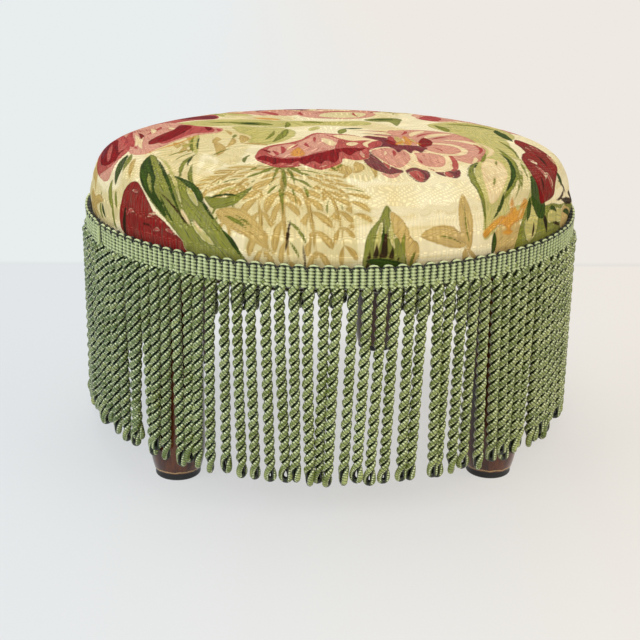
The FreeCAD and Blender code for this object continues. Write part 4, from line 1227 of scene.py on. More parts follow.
class FloralPrint:
    """The whole print: painterly peonies, buds, long leaves and fern fronds on the cloth."""

    def __init__(self, points: np.ndarray, seed: int = 7) -> None:
        """Take the cloth's points in millimetres, n rows of two."""
        self.cloth = Cloth(points)
        self.random = random.Random(seed)

    def brush(self, about: Point = (0.0, 0.0), to: Point | None = None, turn: float = 0.0,
              stretch: float = 1.0, mirror: bool = False) -> Brush:
        """A brush for a motif that is drawn about one point and wanted at another."""
        return Brush(self.cloth, about, about if to is None else to, turn, stretch, mirror)

    def washes(self, brush: Brush, centre: Point, spread: Point, count: int, ink: Ink = Ink.WASH) -> None:
        """Loose upright strokes of thin colour about a middle."""
        for _ in range(count):
            x = centre[0] + self.random.uniform(-1, 1) * spread[0]
            y = centre[1] + self.random.uniform(-1, 1) * spread[1]
            length = self.random.uniform(22, 52)
            lean = self.random.uniform(-8, 8)
            width = self.random.uniform(3, 8)
            brush.paint(Stroke(ink, (x, y + length / 2.0), (x + lean, y - length / 2.0), width, 0.08, 0.5, 0.9))

    def fern(self, brush: Brush, root: Point, tip: Point, spread: float, pairs: int, bow: float = 0.0) -> None:
        """A feathery tan frond: pale blades under narrow leaflets, with an olive stem."""
        dx, dy = tip[0] - root[0], tip[1] - root[1]
        heading = math.atan2(dy, dx)
        for index in range(pairs + 1):
            t = 0.12 + 0.88 * index / pairs
            bulge = 4.0 * t * (1.0 - t) * bow
            x = root[0] + dx * t - dy * bulge
            y = root[1] + dy * t + dx * bulge
            reach = spread * (1.0 - 0.5 * t) * self.random.uniform(0.8, 1.2)
            for side in (-1, 1):
                turn = heading + side * self.random.uniform(0.35, 0.7)
                end = (x + reach * math.cos(turn), y + reach * math.sin(turn))
                brush.paint(Stroke(Ink.WASH, (x, y), end, reach * 0.5, 0.06 * side, 0.6, 0.7))
                shade = Ink.TAN if self.random.random() < 0.8 else Ink.LEAF
                width = reach * (0.26 if shade is Ink.TAN else 0.1)
                brush.paint(Stroke(shade, (x, y), end, width, 0.08 * side, 0.6, 0.9))
        brush.paint(
            Stroke(Ink.TAN, root, tip, 3.4, bow, 0.5, 0.8),
            Stroke(Ink.LEAF, root, (root[0] + dx * 0.6, root[1] + dy * 0.6), 1.6, bow, 0.25, 0.9),
        )

    def ferns(self, brush: Brush) -> None:
        """The fan of fronds that falls from under the red flower."""
        top = (-40.0, -100.0)
        brush.paint(
            Patch(Ink.WASH, ((-54, -104), (-30, -104), (-14, -126), (-4, -150), (6, -186), (0, -224), (-60, -224),
                             (-66, -196), (-78, -170), (-84, -146), (-70, -122)), 90),
            Patch(Ink.WASH, ((-72, -98), (-58, -102), (-58, -130), (-66, -150), (-82, -146), (-86, -126), (-80, -108)), 80),
        )
        for tip, spread, bow in (
            ((-92, -142), 26, -0.1), ((-84, -176), 28, -0.06), ((4, -184), 28, 0.08), ((-2, -206), 26, 0.05),
            ((-62, -214), 30, -0.03), ((-22, -222), 28, 0.03), ((-44, -226), 30, 0.0),
        ):
            self.fern(brush, top, tip, spread, 8, bow)
        for root, tip, width in (
            ((-41, -106), (-41, -166), 3.0), ((-38, -106), (-33, -150), 2.6), ((-44, -106), (-50, -146), 2.6),
            ((-36, -104), (-26, -130), 4.0), ((-46, -104), (-60, -126), 4.0), ((-27, -150), (-25, -172), 2.2),
            ((-44, -150), (-43, -184), 2.2), ((-58, -104), (-64, -116), 3.0), ((-36, -150), (-33, -176), 1.8),
            ((-10, -100), (-2, -120), 3.0), ((2, -98), (-4, -112), 2.6),
        ):
            brush.paint(Stroke(Ink.LEAF, root, tip, width, 0.03, 0.4, 1.0))
        for root, tip in (((-38, -186), (-44.5, -203)), ((-46, -208), (-40, -194)), ((-31.5, -204), (-32, -222))):
            brush.paint(Stroke(Ink.SHADE, root, tip, 2.0, 0.0, 0.5, 0.9))

    def front(self) -> None:
        """Motifs that show in the photographed view."""
        brush = self.brush()
        brush.paint(
            Patch(Ink.WASH, ((-134, 2), (-110, 6), (-84, 40), (-60, 36), (-58, -10), (-66, -60), (-76, -100), (-96, -60),
                             (-100, -110), (-110, -150), (-120, -110), (-128, -60)), 92),
            Patch(Ink.WASH, ((-210, -30), (-190, -40), (-180, -80), (-160, -96), (-150, -60), (-146, -100), (-176, -112),
                             (-200, -100)), 70),
            Patch(Ink.WASH, ((-20, -92), (0, -96), (20, -98), (26, -124), (16, -142), (6, -134), (-4, -142), (-14, -126)), 80),
        )
        self.washes(brush, (-108, -50), (24, 60), 18)
        self.washes(brush, (-92, -10), (30, 40), 12, Ink.TAN)
        self.washes(brush, (-200, -60), (16, 24), 8, Ink.TAN)
        self.washes(brush, (6, -114), (14, 10), 7, Ink.TAN)
        brush.paint(*TOP_LEAVES)
        self.ferns(brush)
        brush.paint(
            *STEMS,
            *POPPY,
            *LONG_LEAVES,
            *ROSE_SPRAY,
            *TULIP_LEAF,
            *PINK_BLOOM,
            *RED_BLOOM,
            *DARK_LEAVES,
            *BUD,
            *HEART_LEAF,
            *SPRIG,
        )

    def rear(self) -> None:
        """The same motifs again, turned and moved, on the rest of the cloth."""
        self.washes(self.brush(), (60, 160), (90, 40), 24)
        self.fern(self.brush(), (60, 110), (96, 214), 34, 6, 0.06)
        self.fern(self.brush(), (60, 110), (50, 226), 32, 7, -0.04)
        self.fern(self.brush(), (-120, 120), (-180, 170), 30, 6, 0.06)
        self.brush((-110, -130), (120, 150), 190.0).paint(*LONG_LEAVES)
        self.brush((-110, -130), (-196, 40), 250.0, 0.9).paint(*LONG_LEAVES)
        self.brush((118, -90), (-104, 172), 205.0, 0.85).paint(*TULIP_LEAF)
        self.brush((60, -50), (-40, 178), 172.0, 0.9).paint(*PINK_BLOOM)
        self.brush((-15, -50), (40, 172), 185.0, 0.9).paint(*RED_BLOOM)
        self.brush((-15, -50), (184, 66), 110.0, 0.85).paint(*RED_BLOOM)
        self.brush((60, -50), (128, 128), 140.0, 0.7).paint(*PINK_BLOOM)
        self.brush((154, -50), (-176, 112), 230.0, 0.8).paint(*BUD)
        self.brush((-150, -140), (-140, 168), 200.0).paint(*POPPY)
        self.brush((27, -200), (4, 204), 176.0).paint(*HEART_LEAF)
        self.brush((90, -190), (-66, 206), 160.0).paint(*SPRIG)
        self.brush((90, -190), (210, -10), 80.0).paint(*SPRIG)

    def paint(self) -> Cloth:
        """Paint everything, the rear first."""
        self.rear()
        self.front()
        return self.cloth


# The cushion

@dataclass
class Cushion:
    """Foam pad, wadding and the printed cover with its hem turned under the board."""

    radius: float = 0.185
    bottom: float = 0.1605
    top: float = 0.2310
    shoulder: float = 0.024
    hem_corner: float = 0.004
    hem_radius: float = 0.148
    crown_rise: float = 0.0057
    cover_thickness: float = 0.001
    wadding_thickness: float = 0.0026
    wadding_slack: float = 0.0026
    band_top: float = 0.1824
    board_top: float = 0.1795
    board_bottom: float = 0.1615
    board_radius: float = 0.180
    voxel: float = 0.006
    evening: int = 8
    shrink: float = 0.0008
    swell_cap: float = 0.0026
    sink_limit: float = 0.0003
    bulge: float = 0.0023
    pressure: float = 4.0
    frames: int = 20
    uv_span: float = 0.6
    puckers: tuple[tuple[float, float, float], ...] = (
        (-33.5, 0.020, 0.0013), (-9.5, 0.016, 0.0007), (-5.0, 0.018, 0.0008), (14.0, 0.014, 0.0005),
        (58.0, 0.018, 0.0010), (95.0, 0.020, 0.0012), (131.0, 0.016, 0.0008), (166.0, 0.022, 0.0014),
        (-158.0, 0.016, 0.0009), (-121.0, 0.020, 0.0012), (-88.0, 0.018, 0.0010), (-61.0, 0.014, 0.0007),
    )

    def blank(self, name: str, inset: float, foot: float, corner: float) -> bpy.types.Object:
        """A round pad: a cylinder with bevelled rims and a crown.

        Args:
            name: Its name.
            inset: How far it lies inside the cover's outer face.
            foot: Height of its underside.
            corner: Radius of its lower rim.

        Returns:
            The pad.
        """
        radius = self.radius - inset
        edge = self.top - inset - self.crown_rise
        deselect_all()
        bpy.ops.mesh.primitive_cylinder_add(
            vertices=128, radius=radius, depth=edge - foot, location=(0.0, 0.0, (edge + foot) / 2.0)
        )
        pad = named(name)
        apply_place(pad)
        near = 0.0001
        with shaping(pad):
            pick_edges(pad, lambda a, b: a.z > edge - near and b.z > edge - near)
            bpy.ops.mesh.bevel(offset=self.shoulder - inset, segments=8, affect="EDGES")
            bpy.ops.mesh.select_all(action="DESELECT")
            pick_edges(pad, lambda a, b: a.z < foot + near and b.z < foot + near)
            bpy.ops.mesh.bevel(offset=corner, segments=3, affect="EDGES")
            bpy.ops.mesh.select_all(action="DESELECT")
            pick_faces(pad, lambda middle, normal: middle.z > edge - near and normal.z > 0.9)
            flat = radius - self.shoulder + inset
            rings = 6
            for ring in range(rings):
                outer = flat * (1.0 - ring / rings)
                inner = flat * (1.0 - (ring + 1) / rings) if ring < rings - 1 else flat * 0.06
                rise = self.crown_rise * (outer**2 - inner**2) / flat**2
                bpy.ops.mesh.inset(thickness=outer - inner, use_boundary=True)
                bpy.ops.transform.translate(value=(0.0, 0.0, rise))
            bpy.ops.mesh.poke()
            pick_faces(pad, lambda middle, normal: middle.z < foot + near and normal.z < -0.9)
            bpy.ops.mesh.inset(thickness=radius * 0.5)
            bpy.ops.mesh.poke()
        return pad

    def swollen(self, pad: bpy.types.Object) -> None:
        """Let the filling press the cover out a little, held where the band grips it."""
        rest = read_points(pad)
        held = pad.vertex_groups.new(name="held")
        low = smoothstep(self.band_top + 0.004, self.band_top - 0.004, rest[:, 2])
        for index in np.flatnonzero(low > 0.01):
            held.add([int(index)], float(low[index]), "REPLACE")
        activate(pad)
        cloth = pad.modifiers.new("Cloth", "CLOTH")
        cloth.settings.use_pressure = True
        cloth.settings.uniform_pressure_force = self.pressure
        cloth.settings.effector_weights.gravity = 0.0
        cloth.settings.vertex_group_mass = "held"
        cloth.settings.quality = 4
        scene = bpy.context.scene
        for number in range(1, self.frames + 1):
            scene.frame_set(number)
        shape = pad.evaluated_get(bpy.context.evaluated_depsgraph_get())
        moved = np.empty(len(rest) * 3)
        shape.data.vertices.foreach_get("co", moved)
        shift = moved.reshape(-1, 3) - rest
        length = np.linalg.norm(shift, axis=1, keepdims=True)
        shift *= np.minimum(1.0, self.swell_cap / np.maximum(length, 1e-9))
        pad.modifiers.remove(cloth)
        pad.vertex_groups.clear()
        write_points(pad, rest + shift)
        scene.frame_set(1)
        LOG.info("cover swelled by %.1f mm at most", float(np.linalg.norm(shift, axis=1).max()) / MM)

    def fitted(self, pad: bpy.types.Object, rest: np.ndarray, outward: np.ndarray) -> None:
        """Bring the swollen cover to the seat's own height and breadth, and never inside its first shape.

        Args:
            pad: The cover.
            rest: Its vertices before it swelled.
            outward: Their normals.
        """
        points = read_points(pad)
        above = points[:, 2] > self.band_top
        reach = np.hypot(points[:, 0], points[:, 1])
        tall = (self.top - self.band_top) / (points[:, 2].max() - self.band_top)
        points[above, 2] = self.band_top + (points[above, 2] - self.band_top) * tall
        wide = self.radius / np.quantile(reach, 0.995)
        over_band = smoothstep(self.band_top - 0.001, self.band_top + 0.004, points[:, 2])
        points[:, :2] *= (wide * (1.0 + self.bulge / self.radius * over_band))[:, None]
        under = points[:, 2] < self.bottom + self.hem_corner
        points[under, 2] = np.maximum(points[under, 2], self.bottom)
        reach = np.hypot(points[:, 0], points[:, 1])
        trim = np.minimum(1.0, (self.radius - 0.0002) / reach)
        gripped = points[:, 2] < self.band_top - 0.001
        points[gripped, :2] *= trim[gripped, None]
        sunk = np.maximum(0.0, -self.sink_limit - np.sum((points - rest) * outward, axis=1))
        write_points(pad, points + outward * sunk[:, None])

    def opened(self, cover: bpy.types.Object) -> None:
        """Cut the hole inside the hem and draw its edge round."""
        with shaping(cover):
            pick_faces(
                cover,
                lambda middle, normal: middle.z < self.bottom + 0.002
                and math.hypot(middle.x, middle.y) < self.hem_radius,
            )
            bpy.ops.mesh.delete(type="FACE")
        rim = self.rim_of(cover)
        points = read_points(cover)
        reach = np.hypot(points[rim, 0], points[rim, 1])
        points[rim, :2] *= (self.hem_radius / reach)[:, None]
        points[rim, 2] = self.bottom
        write_points(cover, points)

    @staticmethod
    def rim_of(obj: bpy.types.Object) -> np.ndarray:
        """Numbers of the vertices on the open edge of a mesh."""
        mesh = bmesh.new()
        mesh.from_mesh(obj.data)
        rim = [vertex.index for vertex in mesh.verts if vertex.is_boundary]
        mesh.free()
        return np.array(rim)

    def lined(self, cover: bpy.types.Object) -> bpy.types.Object:
        """Give the cover its thickness: a fine outer face, a coarser inner one and a closed hem.

        Args:
            cover: Open skin with its normals outwards.

        Returns:
            The closed cover.
        """
        lining = copied(cover, "lining")
        points = read_points(lining)
        normals = np.empty(len(points) * 3)
        lining.data.vertices.foreach_get("normal", normals)
        write_points(lining, points - normals.reshape(-1, 3) * self.cover_thickness)
        with shaping(lining):
            bpy.ops.mesh.select_all(action="SELECT")
            bpy.ops.mesh.flip_normals()
        modify(cover, "SUBSURF", levels=2, render_levels=2)
        whole = joined([cover, lining], "seat_cover")
        with shaping(whole):
            bpy.ops.mesh.select_mode(type="EDGE")
            bpy.ops.mesh.select_non_manifold(extend=False, use_wire=False, use_multi_face=False,
                                             use_non_contiguous=False, use_verts=False, use_boundary=True)
            bpy.ops.mesh.bridge_edge_loops()
        return whole

    def creased(self, cover: bpy.types.Object) -> None:
        """Press the small gathers by the band into the cover."""
        points = read_points(cover)
        angle = np.degrees(np.arctan2(points[:, 0], -points[:, 1]))
        reach = np.hypot(points[:, 0], points[:, 1])
        away = np.column_stack([points[:, :2] / np.maximum(reach, 1e-6)[:, None], np.zeros(len(points))])
        depth = np.zeros(len(points))
        width = 0.0026
        for place, length, deep in self.puckers:
            lean = 0.5 * (points[:, 2] - self.band_top)
            sideways = np.radians(angle - place) * self.radius - lean
            fade = smoothstep(self.band_top + length, self.band_top - 0.002, points[:, 2])
            ridge = np.exp(-((np.abs(sideways) - 2.2 * width) / width) ** 2) * 0.35
            depth += deep * fade * (np.exp(-(sideways / width) ** 2) - ridge)
        outer = (reach > self.radius - self.shoulder) & (points[:, 2] > self.band_top - 0.004)
        points[outer] -= away[outer] * depth[outer, None]
        write_points(cover, points)

    def cloth_place(self, points: np.ndarray) -> np.ndarray:
        """Where each point of the cover lies on the flat cloth.

        Args:
            points: Points of the cover, n rows of three.

        Returns:
            Places on the cloth in millimetres, n rows of two.
        """
        flat = self.radius - self.shoulder
        turn_height = self.top - self.crown_rise - self.shoulder
        reach = np.hypot(points[:, 0], points[:, 1])
        bend = np.arctan2(reach - flat, np.maximum(points[:, 2] - turn_height, 1e-6))
        run = np.where(reach < flat, reach, flat + self.shoulder * np.clip(bend, 0.0, math.pi / 2))
        side = flat + self.shoulder * math.pi / 2 + turn_height - points[:, 2]
        run = np.where(points[:, 2] < turn_height, side, run)
        under = (points[:, 2] < self.bottom + self.hem_corner) & (reach < self.radius - self.hem_corner)
        foot = flat + self.shoulder * math.pi / 2 + turn_height - self.bottom
        run = np.where(under, foot + self.radius - reach, run)
        heading = points[:, :2] / np.maximum(reach, 1e-9)[:, None]
        return heading * run[:, None] / MM

    def printed(self, cover: bpy.types.Object) -> None:
        """Paint the print on the cover and store the cloth's place as its UV map."""
        places = self.cloth_place(read_points(cover))
        cloth = FloralPrint(places).paint()
        for ink, cover_depth in cloth.cover.items():
            give_numbers(cover, "ink_" + ink.value, cover_depth)
        give_numbers(cover, "grain", cloth.grain)
        mesh = cover.data
        layer = mesh.uv_layers.new(name="cloth")
        corners = np.empty(len(mesh.loops), dtype=np.int64)
        mesh.loops.foreach_get("vertex_index", corners)
        uv = places[corners] * MM / self.uv_span + 0.5
        layer.data.foreach_set("uv", uv.astype(np.float32).ravel())

    def build_cover(self) -> bpy.types.Object:
        """The printed cover."""
        cover = self.blank("seat_cover", self.shrink, self.bottom, self.hem_corner)
        cover.data.remesh_voxel_size = self.voxel
        activate(cover)
        bpy.ops.object.voxel_remesh()
        with shaping(cover):
            bpy.ops.mesh.select_all(action="SELECT")
            bpy.ops.mesh.vertices_smooth(factor=0.5, repeat=self.evening)
        rest = read_points(cover)
        outward = np.empty(len(rest) * 3)
        cover.data.vertices.foreach_get("normal", outward)
        self.swollen(cover)
        self.fitted(cover, rest, outward.reshape(-1, 3))
        self.opened(cover)
        cover = self.lined(cover)
        self.creased(cover)
        self.printed(cover)
        smooth(cover)
        cover.data.materials.clear()
        cover.data.materials.append(PrintedLinen(uv_span=self.uv_span / MM).make())
        return cover

    def build_wadding(self) -> bpy.types.Object:
        """The wadding: a thick dome over the foam and down the board's edge."""
        wadding = self.blank("wadding_layer", self.cover_thickness + self.wadding_slack, self.board_bottom + 0.0002, 0.0008)
        with shaping(wadding):
            pick_faces(wadding, lambda middle, normal: normal.z < -0.5)
            bpy.ops.mesh.delete(type="FACE")
        modify(wadding, "SOLIDIFY", thickness=self.wadding_thickness, offset=-1.0)
        modify(wadding, "SUBSURF", levels=1, render_levels=1)
        smooth(wadding, 60.0)
        return wadding

    def build_foam(self) -> bpy.types.Object:
        """The crowned foam block on the board."""
        inset = self.cover_thickness + self.wadding_slack + self.wadding_thickness + 0.0004
        foam = self.blank("foam_block", inset, self.board_top, 0.0006)
        modify(foam, "SUBSURF", levels=1, render_levels=1)
        smooth(foam, 60.0)
        return foam

    def build(self) -> list[bpy.types.Object]:
        """Build the three layers, dress them, put them on the body and hide the imported nodes they replace.

        Returns:
            The three pieces.
        """
        cover, wadding, foam = self.build_cover(), self.build_wadding(), self.build_foam()
        fluff = Speckled("wadding", (240, 240, 236), (222, 222, 218), 0.95, 260.0, 0.6 * MM)
        cells = Speckled("foam", (230, 218, 168), (206, 190, 132), 0.95, 420.0, 0.4 * MM)
        for piece, finish in ((wadding, fluff), (foam, cells)):
            piece.data.materials.clear()
            piece.data.materials.append(finish.make())
        for piece, node, slot, fill in (
            (cover, "seat_cover", "printed_linen", 0.85),
            (wadding, "wadding", "wadding", 0.8),
            (foam, "foam_pad", "foam", 0.9),
        ):
            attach(piece, BODY)
            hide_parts(node)
        return [cover, wadding, foam]


# The header band

@dataclass
class HeaderBand:
    """Woven gimp: ribbed columns on a ribbon, with a scallop of cord over every pair."""

    radius: float = 0.190
    inner_radius: float = 0.1862
    bottom: float = 0.1659
    top: float = 0.1824
    scallops: int = 122
    phase_deg: float = -0.48
    scallop_rise: float = 0.0027
    column_half: float = 0.00142
    column_depth: float = 0.0014
    tooth: float = 0.0011
    cord_radius: float = 0.00085
    join_deg: float = -66.0
    lap_half: float = 0.006
    lap_rise: float = 0.0012

    def column(self) -> bpy.types.Object:
        """One column: a narrow upright strip with six bulges, each with a tooth to the right."""
        height = self.top - self.scallop_rise - self.bottom
        deselect_all()
        bpy.ops.mesh.primitive_grid_add(
            x_subdivisions=4, y_subdivisions=12, size=1.0, location=(0.0, 0.0, 0.0), rotation=(math.pi / 2, 0.0, 0.0)
        )
        strip = named("band_column")
        apply_place(strip)
        points = read_points(strip)
        across, level = points[:, 0] * 2.0, points[:, 2] + 0.5
        ring = np.rint(level * 12).astype(int)
        bulge = (ring % 2).astype(float)
        half = self.column_half + 0.0004 * bulge
        points[:, 0] = across * half
        points[:, 1] = -(self.column_depth * (0.55 + 0.45 * bulge)) * np.sqrt(np.clip(1.0 - across**2, 0.0, 1.0))
        points[:, 2] = self.bottom + level * height
        end = (across > 0.9) & (bulge > 0.5)
        points[end, 0] += self.tooth
        points[end, 2] -= 0.0006
        write_points(strip, points)
        # Crest light share: high on the bulges and the middle for a painted highlight, low at the sides for painted
        # shade.
        crest_light = 0.25 + 0.35 * bulge + 0.4 * (1.0 - across**2)
        crest_light[end] = 0.72
        give_numbers(strip, "crest_light", crest_light)
        return strip

    def scallop(self) -> bpy.types.Object:
        """One arc of cord over a pair of columns, its left side steeper."""
        spread = 0.0037
        deselect_all()
        bpy.ops.mesh.primitive_circle_add(vertices=6, radius=self.cord_radius, location=(-spread, 0.0, 0.0))
        arc = named("band_scallop")
        apply_place(arc)
        with shaping(arc):
            bpy.ops.mesh.select_all(action="SELECT")
            bpy.ops.mesh.spin(steps=8, angle=math.pi, center=(0.0, 0.0, 0.0), axis=(0.0, 1.0, 0.0))
        points = read_points(arc)
        if points[:, 2].max() < self.cord_radius * 2.0:
            points[:, 2] *= -1.0
        share = (points[:, 0] + spread) / (2.0 * spread)
        points[:, 2] *= (self.scallop_rise + 0.0006) / (spread + self.cord_radius)
        points[:, 2] -= 0.0009 * share
        points[:, 0] += 0.0003
        points[:, 2] += self.top - self.scallop_rise - 0.0006
        points[:, 1] -= 0.0006
        write_points(arc, points)
        close_and_face_out(arc)
        # Crest light share grows towards the top of the arc: a painted highlight on top, painted shade below.
        give_numbers(arc, "crest_light", smoothstep(-0.0012, 0.0004, read_points(arc)[:, 2] - self.top + 0.0014))
        return arc

    def ribbon(self) -> bpy.types.Object:
        """The ground that carries the columns, its upper edge rising under each scallop."""
        steps = self.scallops * 8
        deselect_all()
        bpy.ops.mesh.primitive_cylinder_add(
            vertices=steps, radius=self.radius - self.column_depth, depth=self.top - self.bottom,
            end_fill_type="NOTHING", location=(0.0, 0.0, (self.top + self.bottom) / 2.0),
        )
        ground = named("header_band_piece")
        apply_place(ground)
        points = read_points(ground)
        angle = np.arctan2(points[:, 0], -points[:, 1])
        wave = np.cos((angle - math.radians(self.phase_deg)) * self.scallops)
        upper = points[:, 2] > (self.top + self.bottom) / 2.0
        points[upper, 2] = self.top - 0.0010 - self.scallop_rise * (0.5 - 0.5 * wave[upper])
        write_points(ground, points)
        close_and_face_out(ground)
        modify(ground, "SOLIDIFY", thickness=self.radius - self.column_depth - self.inner_radius, offset=-1.0)
        # A low crest light share paints the ribbon near-black, as painted shade between the columns.
        give_numbers(ground, "crest_light", np.full(len(ground.data.vertices), 0.16))
        return ground

    def lifted(self, points: np.ndarray, angle: float) -> np.ndarray:
        """Move a part of the band outwards where the ends lap over each other."""
        offset = math.radians(math.degrees(angle) - self.join_deg) * self.radius
        offset = (offset + math.pi * self.radius) % (2 * math.pi * self.radius) - math.pi * self.radius
        lift = self.lap_rise if abs(offset) < self.lap_half else 0.0
        return points - np.array([0.0, lift, 0.0])

    def end_roll(self) -> bpy.types.Object:
        """The band's turned-in free end: an upright roll at the edge of the lap."""
        height = self.top - self.scallop_rise - self.bottom
        deselect_all()
        bpy.ops.mesh.primitive_cylinder_add(
            vertices=10, radius=0.0012, depth=height, end_fill_type="TRIFAN",
            location=(self.lap_half, -self.radius - 0.0008, self.bottom + height / 2.0),
        )
        roll = named("band_end")
        apply_place(roll)
        with shaping(roll):
            bpy.ops.mesh.select_all(action="SELECT")
            bpy.ops.mesh.subdivide(number_cuts=3)
        points = read_points(roll)
        points[:, 0] += 0.0003 * np.sin(points[:, 2] * 2600.0)
        write_points(roll, turned_about_z(points, math.radians(self.join_deg)))
        # A high crest light share: the roll takes the lighter colour and part of the painted highlight.
        give_numbers(roll, "crest_light", np.full(len(points), 0.8))
        return roll

    def build(self) -> bpy.types.Object:
        """Build the band, dress it, put it on the body and hide the imported band it replaces."""
        column, scallop = self.column(), self.scallop()
        chance = random.Random(11)
        parts = [self.ribbon(), self.end_roll()]
        seat = np.array([0.0, -(self.radius - self.column_depth), 0.0])
        for master, count, offset in ((column, 2 * self.scallops, -0.5), (scallop, self.scallops, 0.0)):
            shape = read_points(master)
            for index in range(count):
                step = 2.0 * math.pi / count
                angle = math.radians(self.phase_deg) + (index + offset) * step
                twin = copied(master, "band_part")
                points = shape + seat
                wobble = chance.uniform(-0.00025, 0.00025)
                points[:, 0] += wobble * np.sin((points[:, 2] - self.bottom) * 300.0 + index)
                points[:, 1] -= chance.uniform(0.0, 0.0003)
                points = self.lifted(points, angle)
                write_points(twin, turned_about_z(points, angle))
                parts.append(twin)
        bpy.data.objects.remove(column)
        bpy.data.objects.remove(scallop)
        band = joined(parts, "header_band_piece")
        smooth(band, 80.0)
        band.data.materials.clear()
        band.data.materials.append(WovenBraid().make())
        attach(band, BODY)
        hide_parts("header_band")
        return band


# The fringe

class LoopEnd(Enum):
    """How a cord ends: the ply's turn at the bottom, by its half-width in metres."""

    CLOSED = 0.0020
    EASY = 0.0026
    OPEN = 0.0033


@dataclass(frozen=True)
class Stray:
    """How one cord departs from its even hang: sideways, outwards and in length, in metres."""

    side: float = 0.0
    out: float = 0.0
    longer: float = 0.0


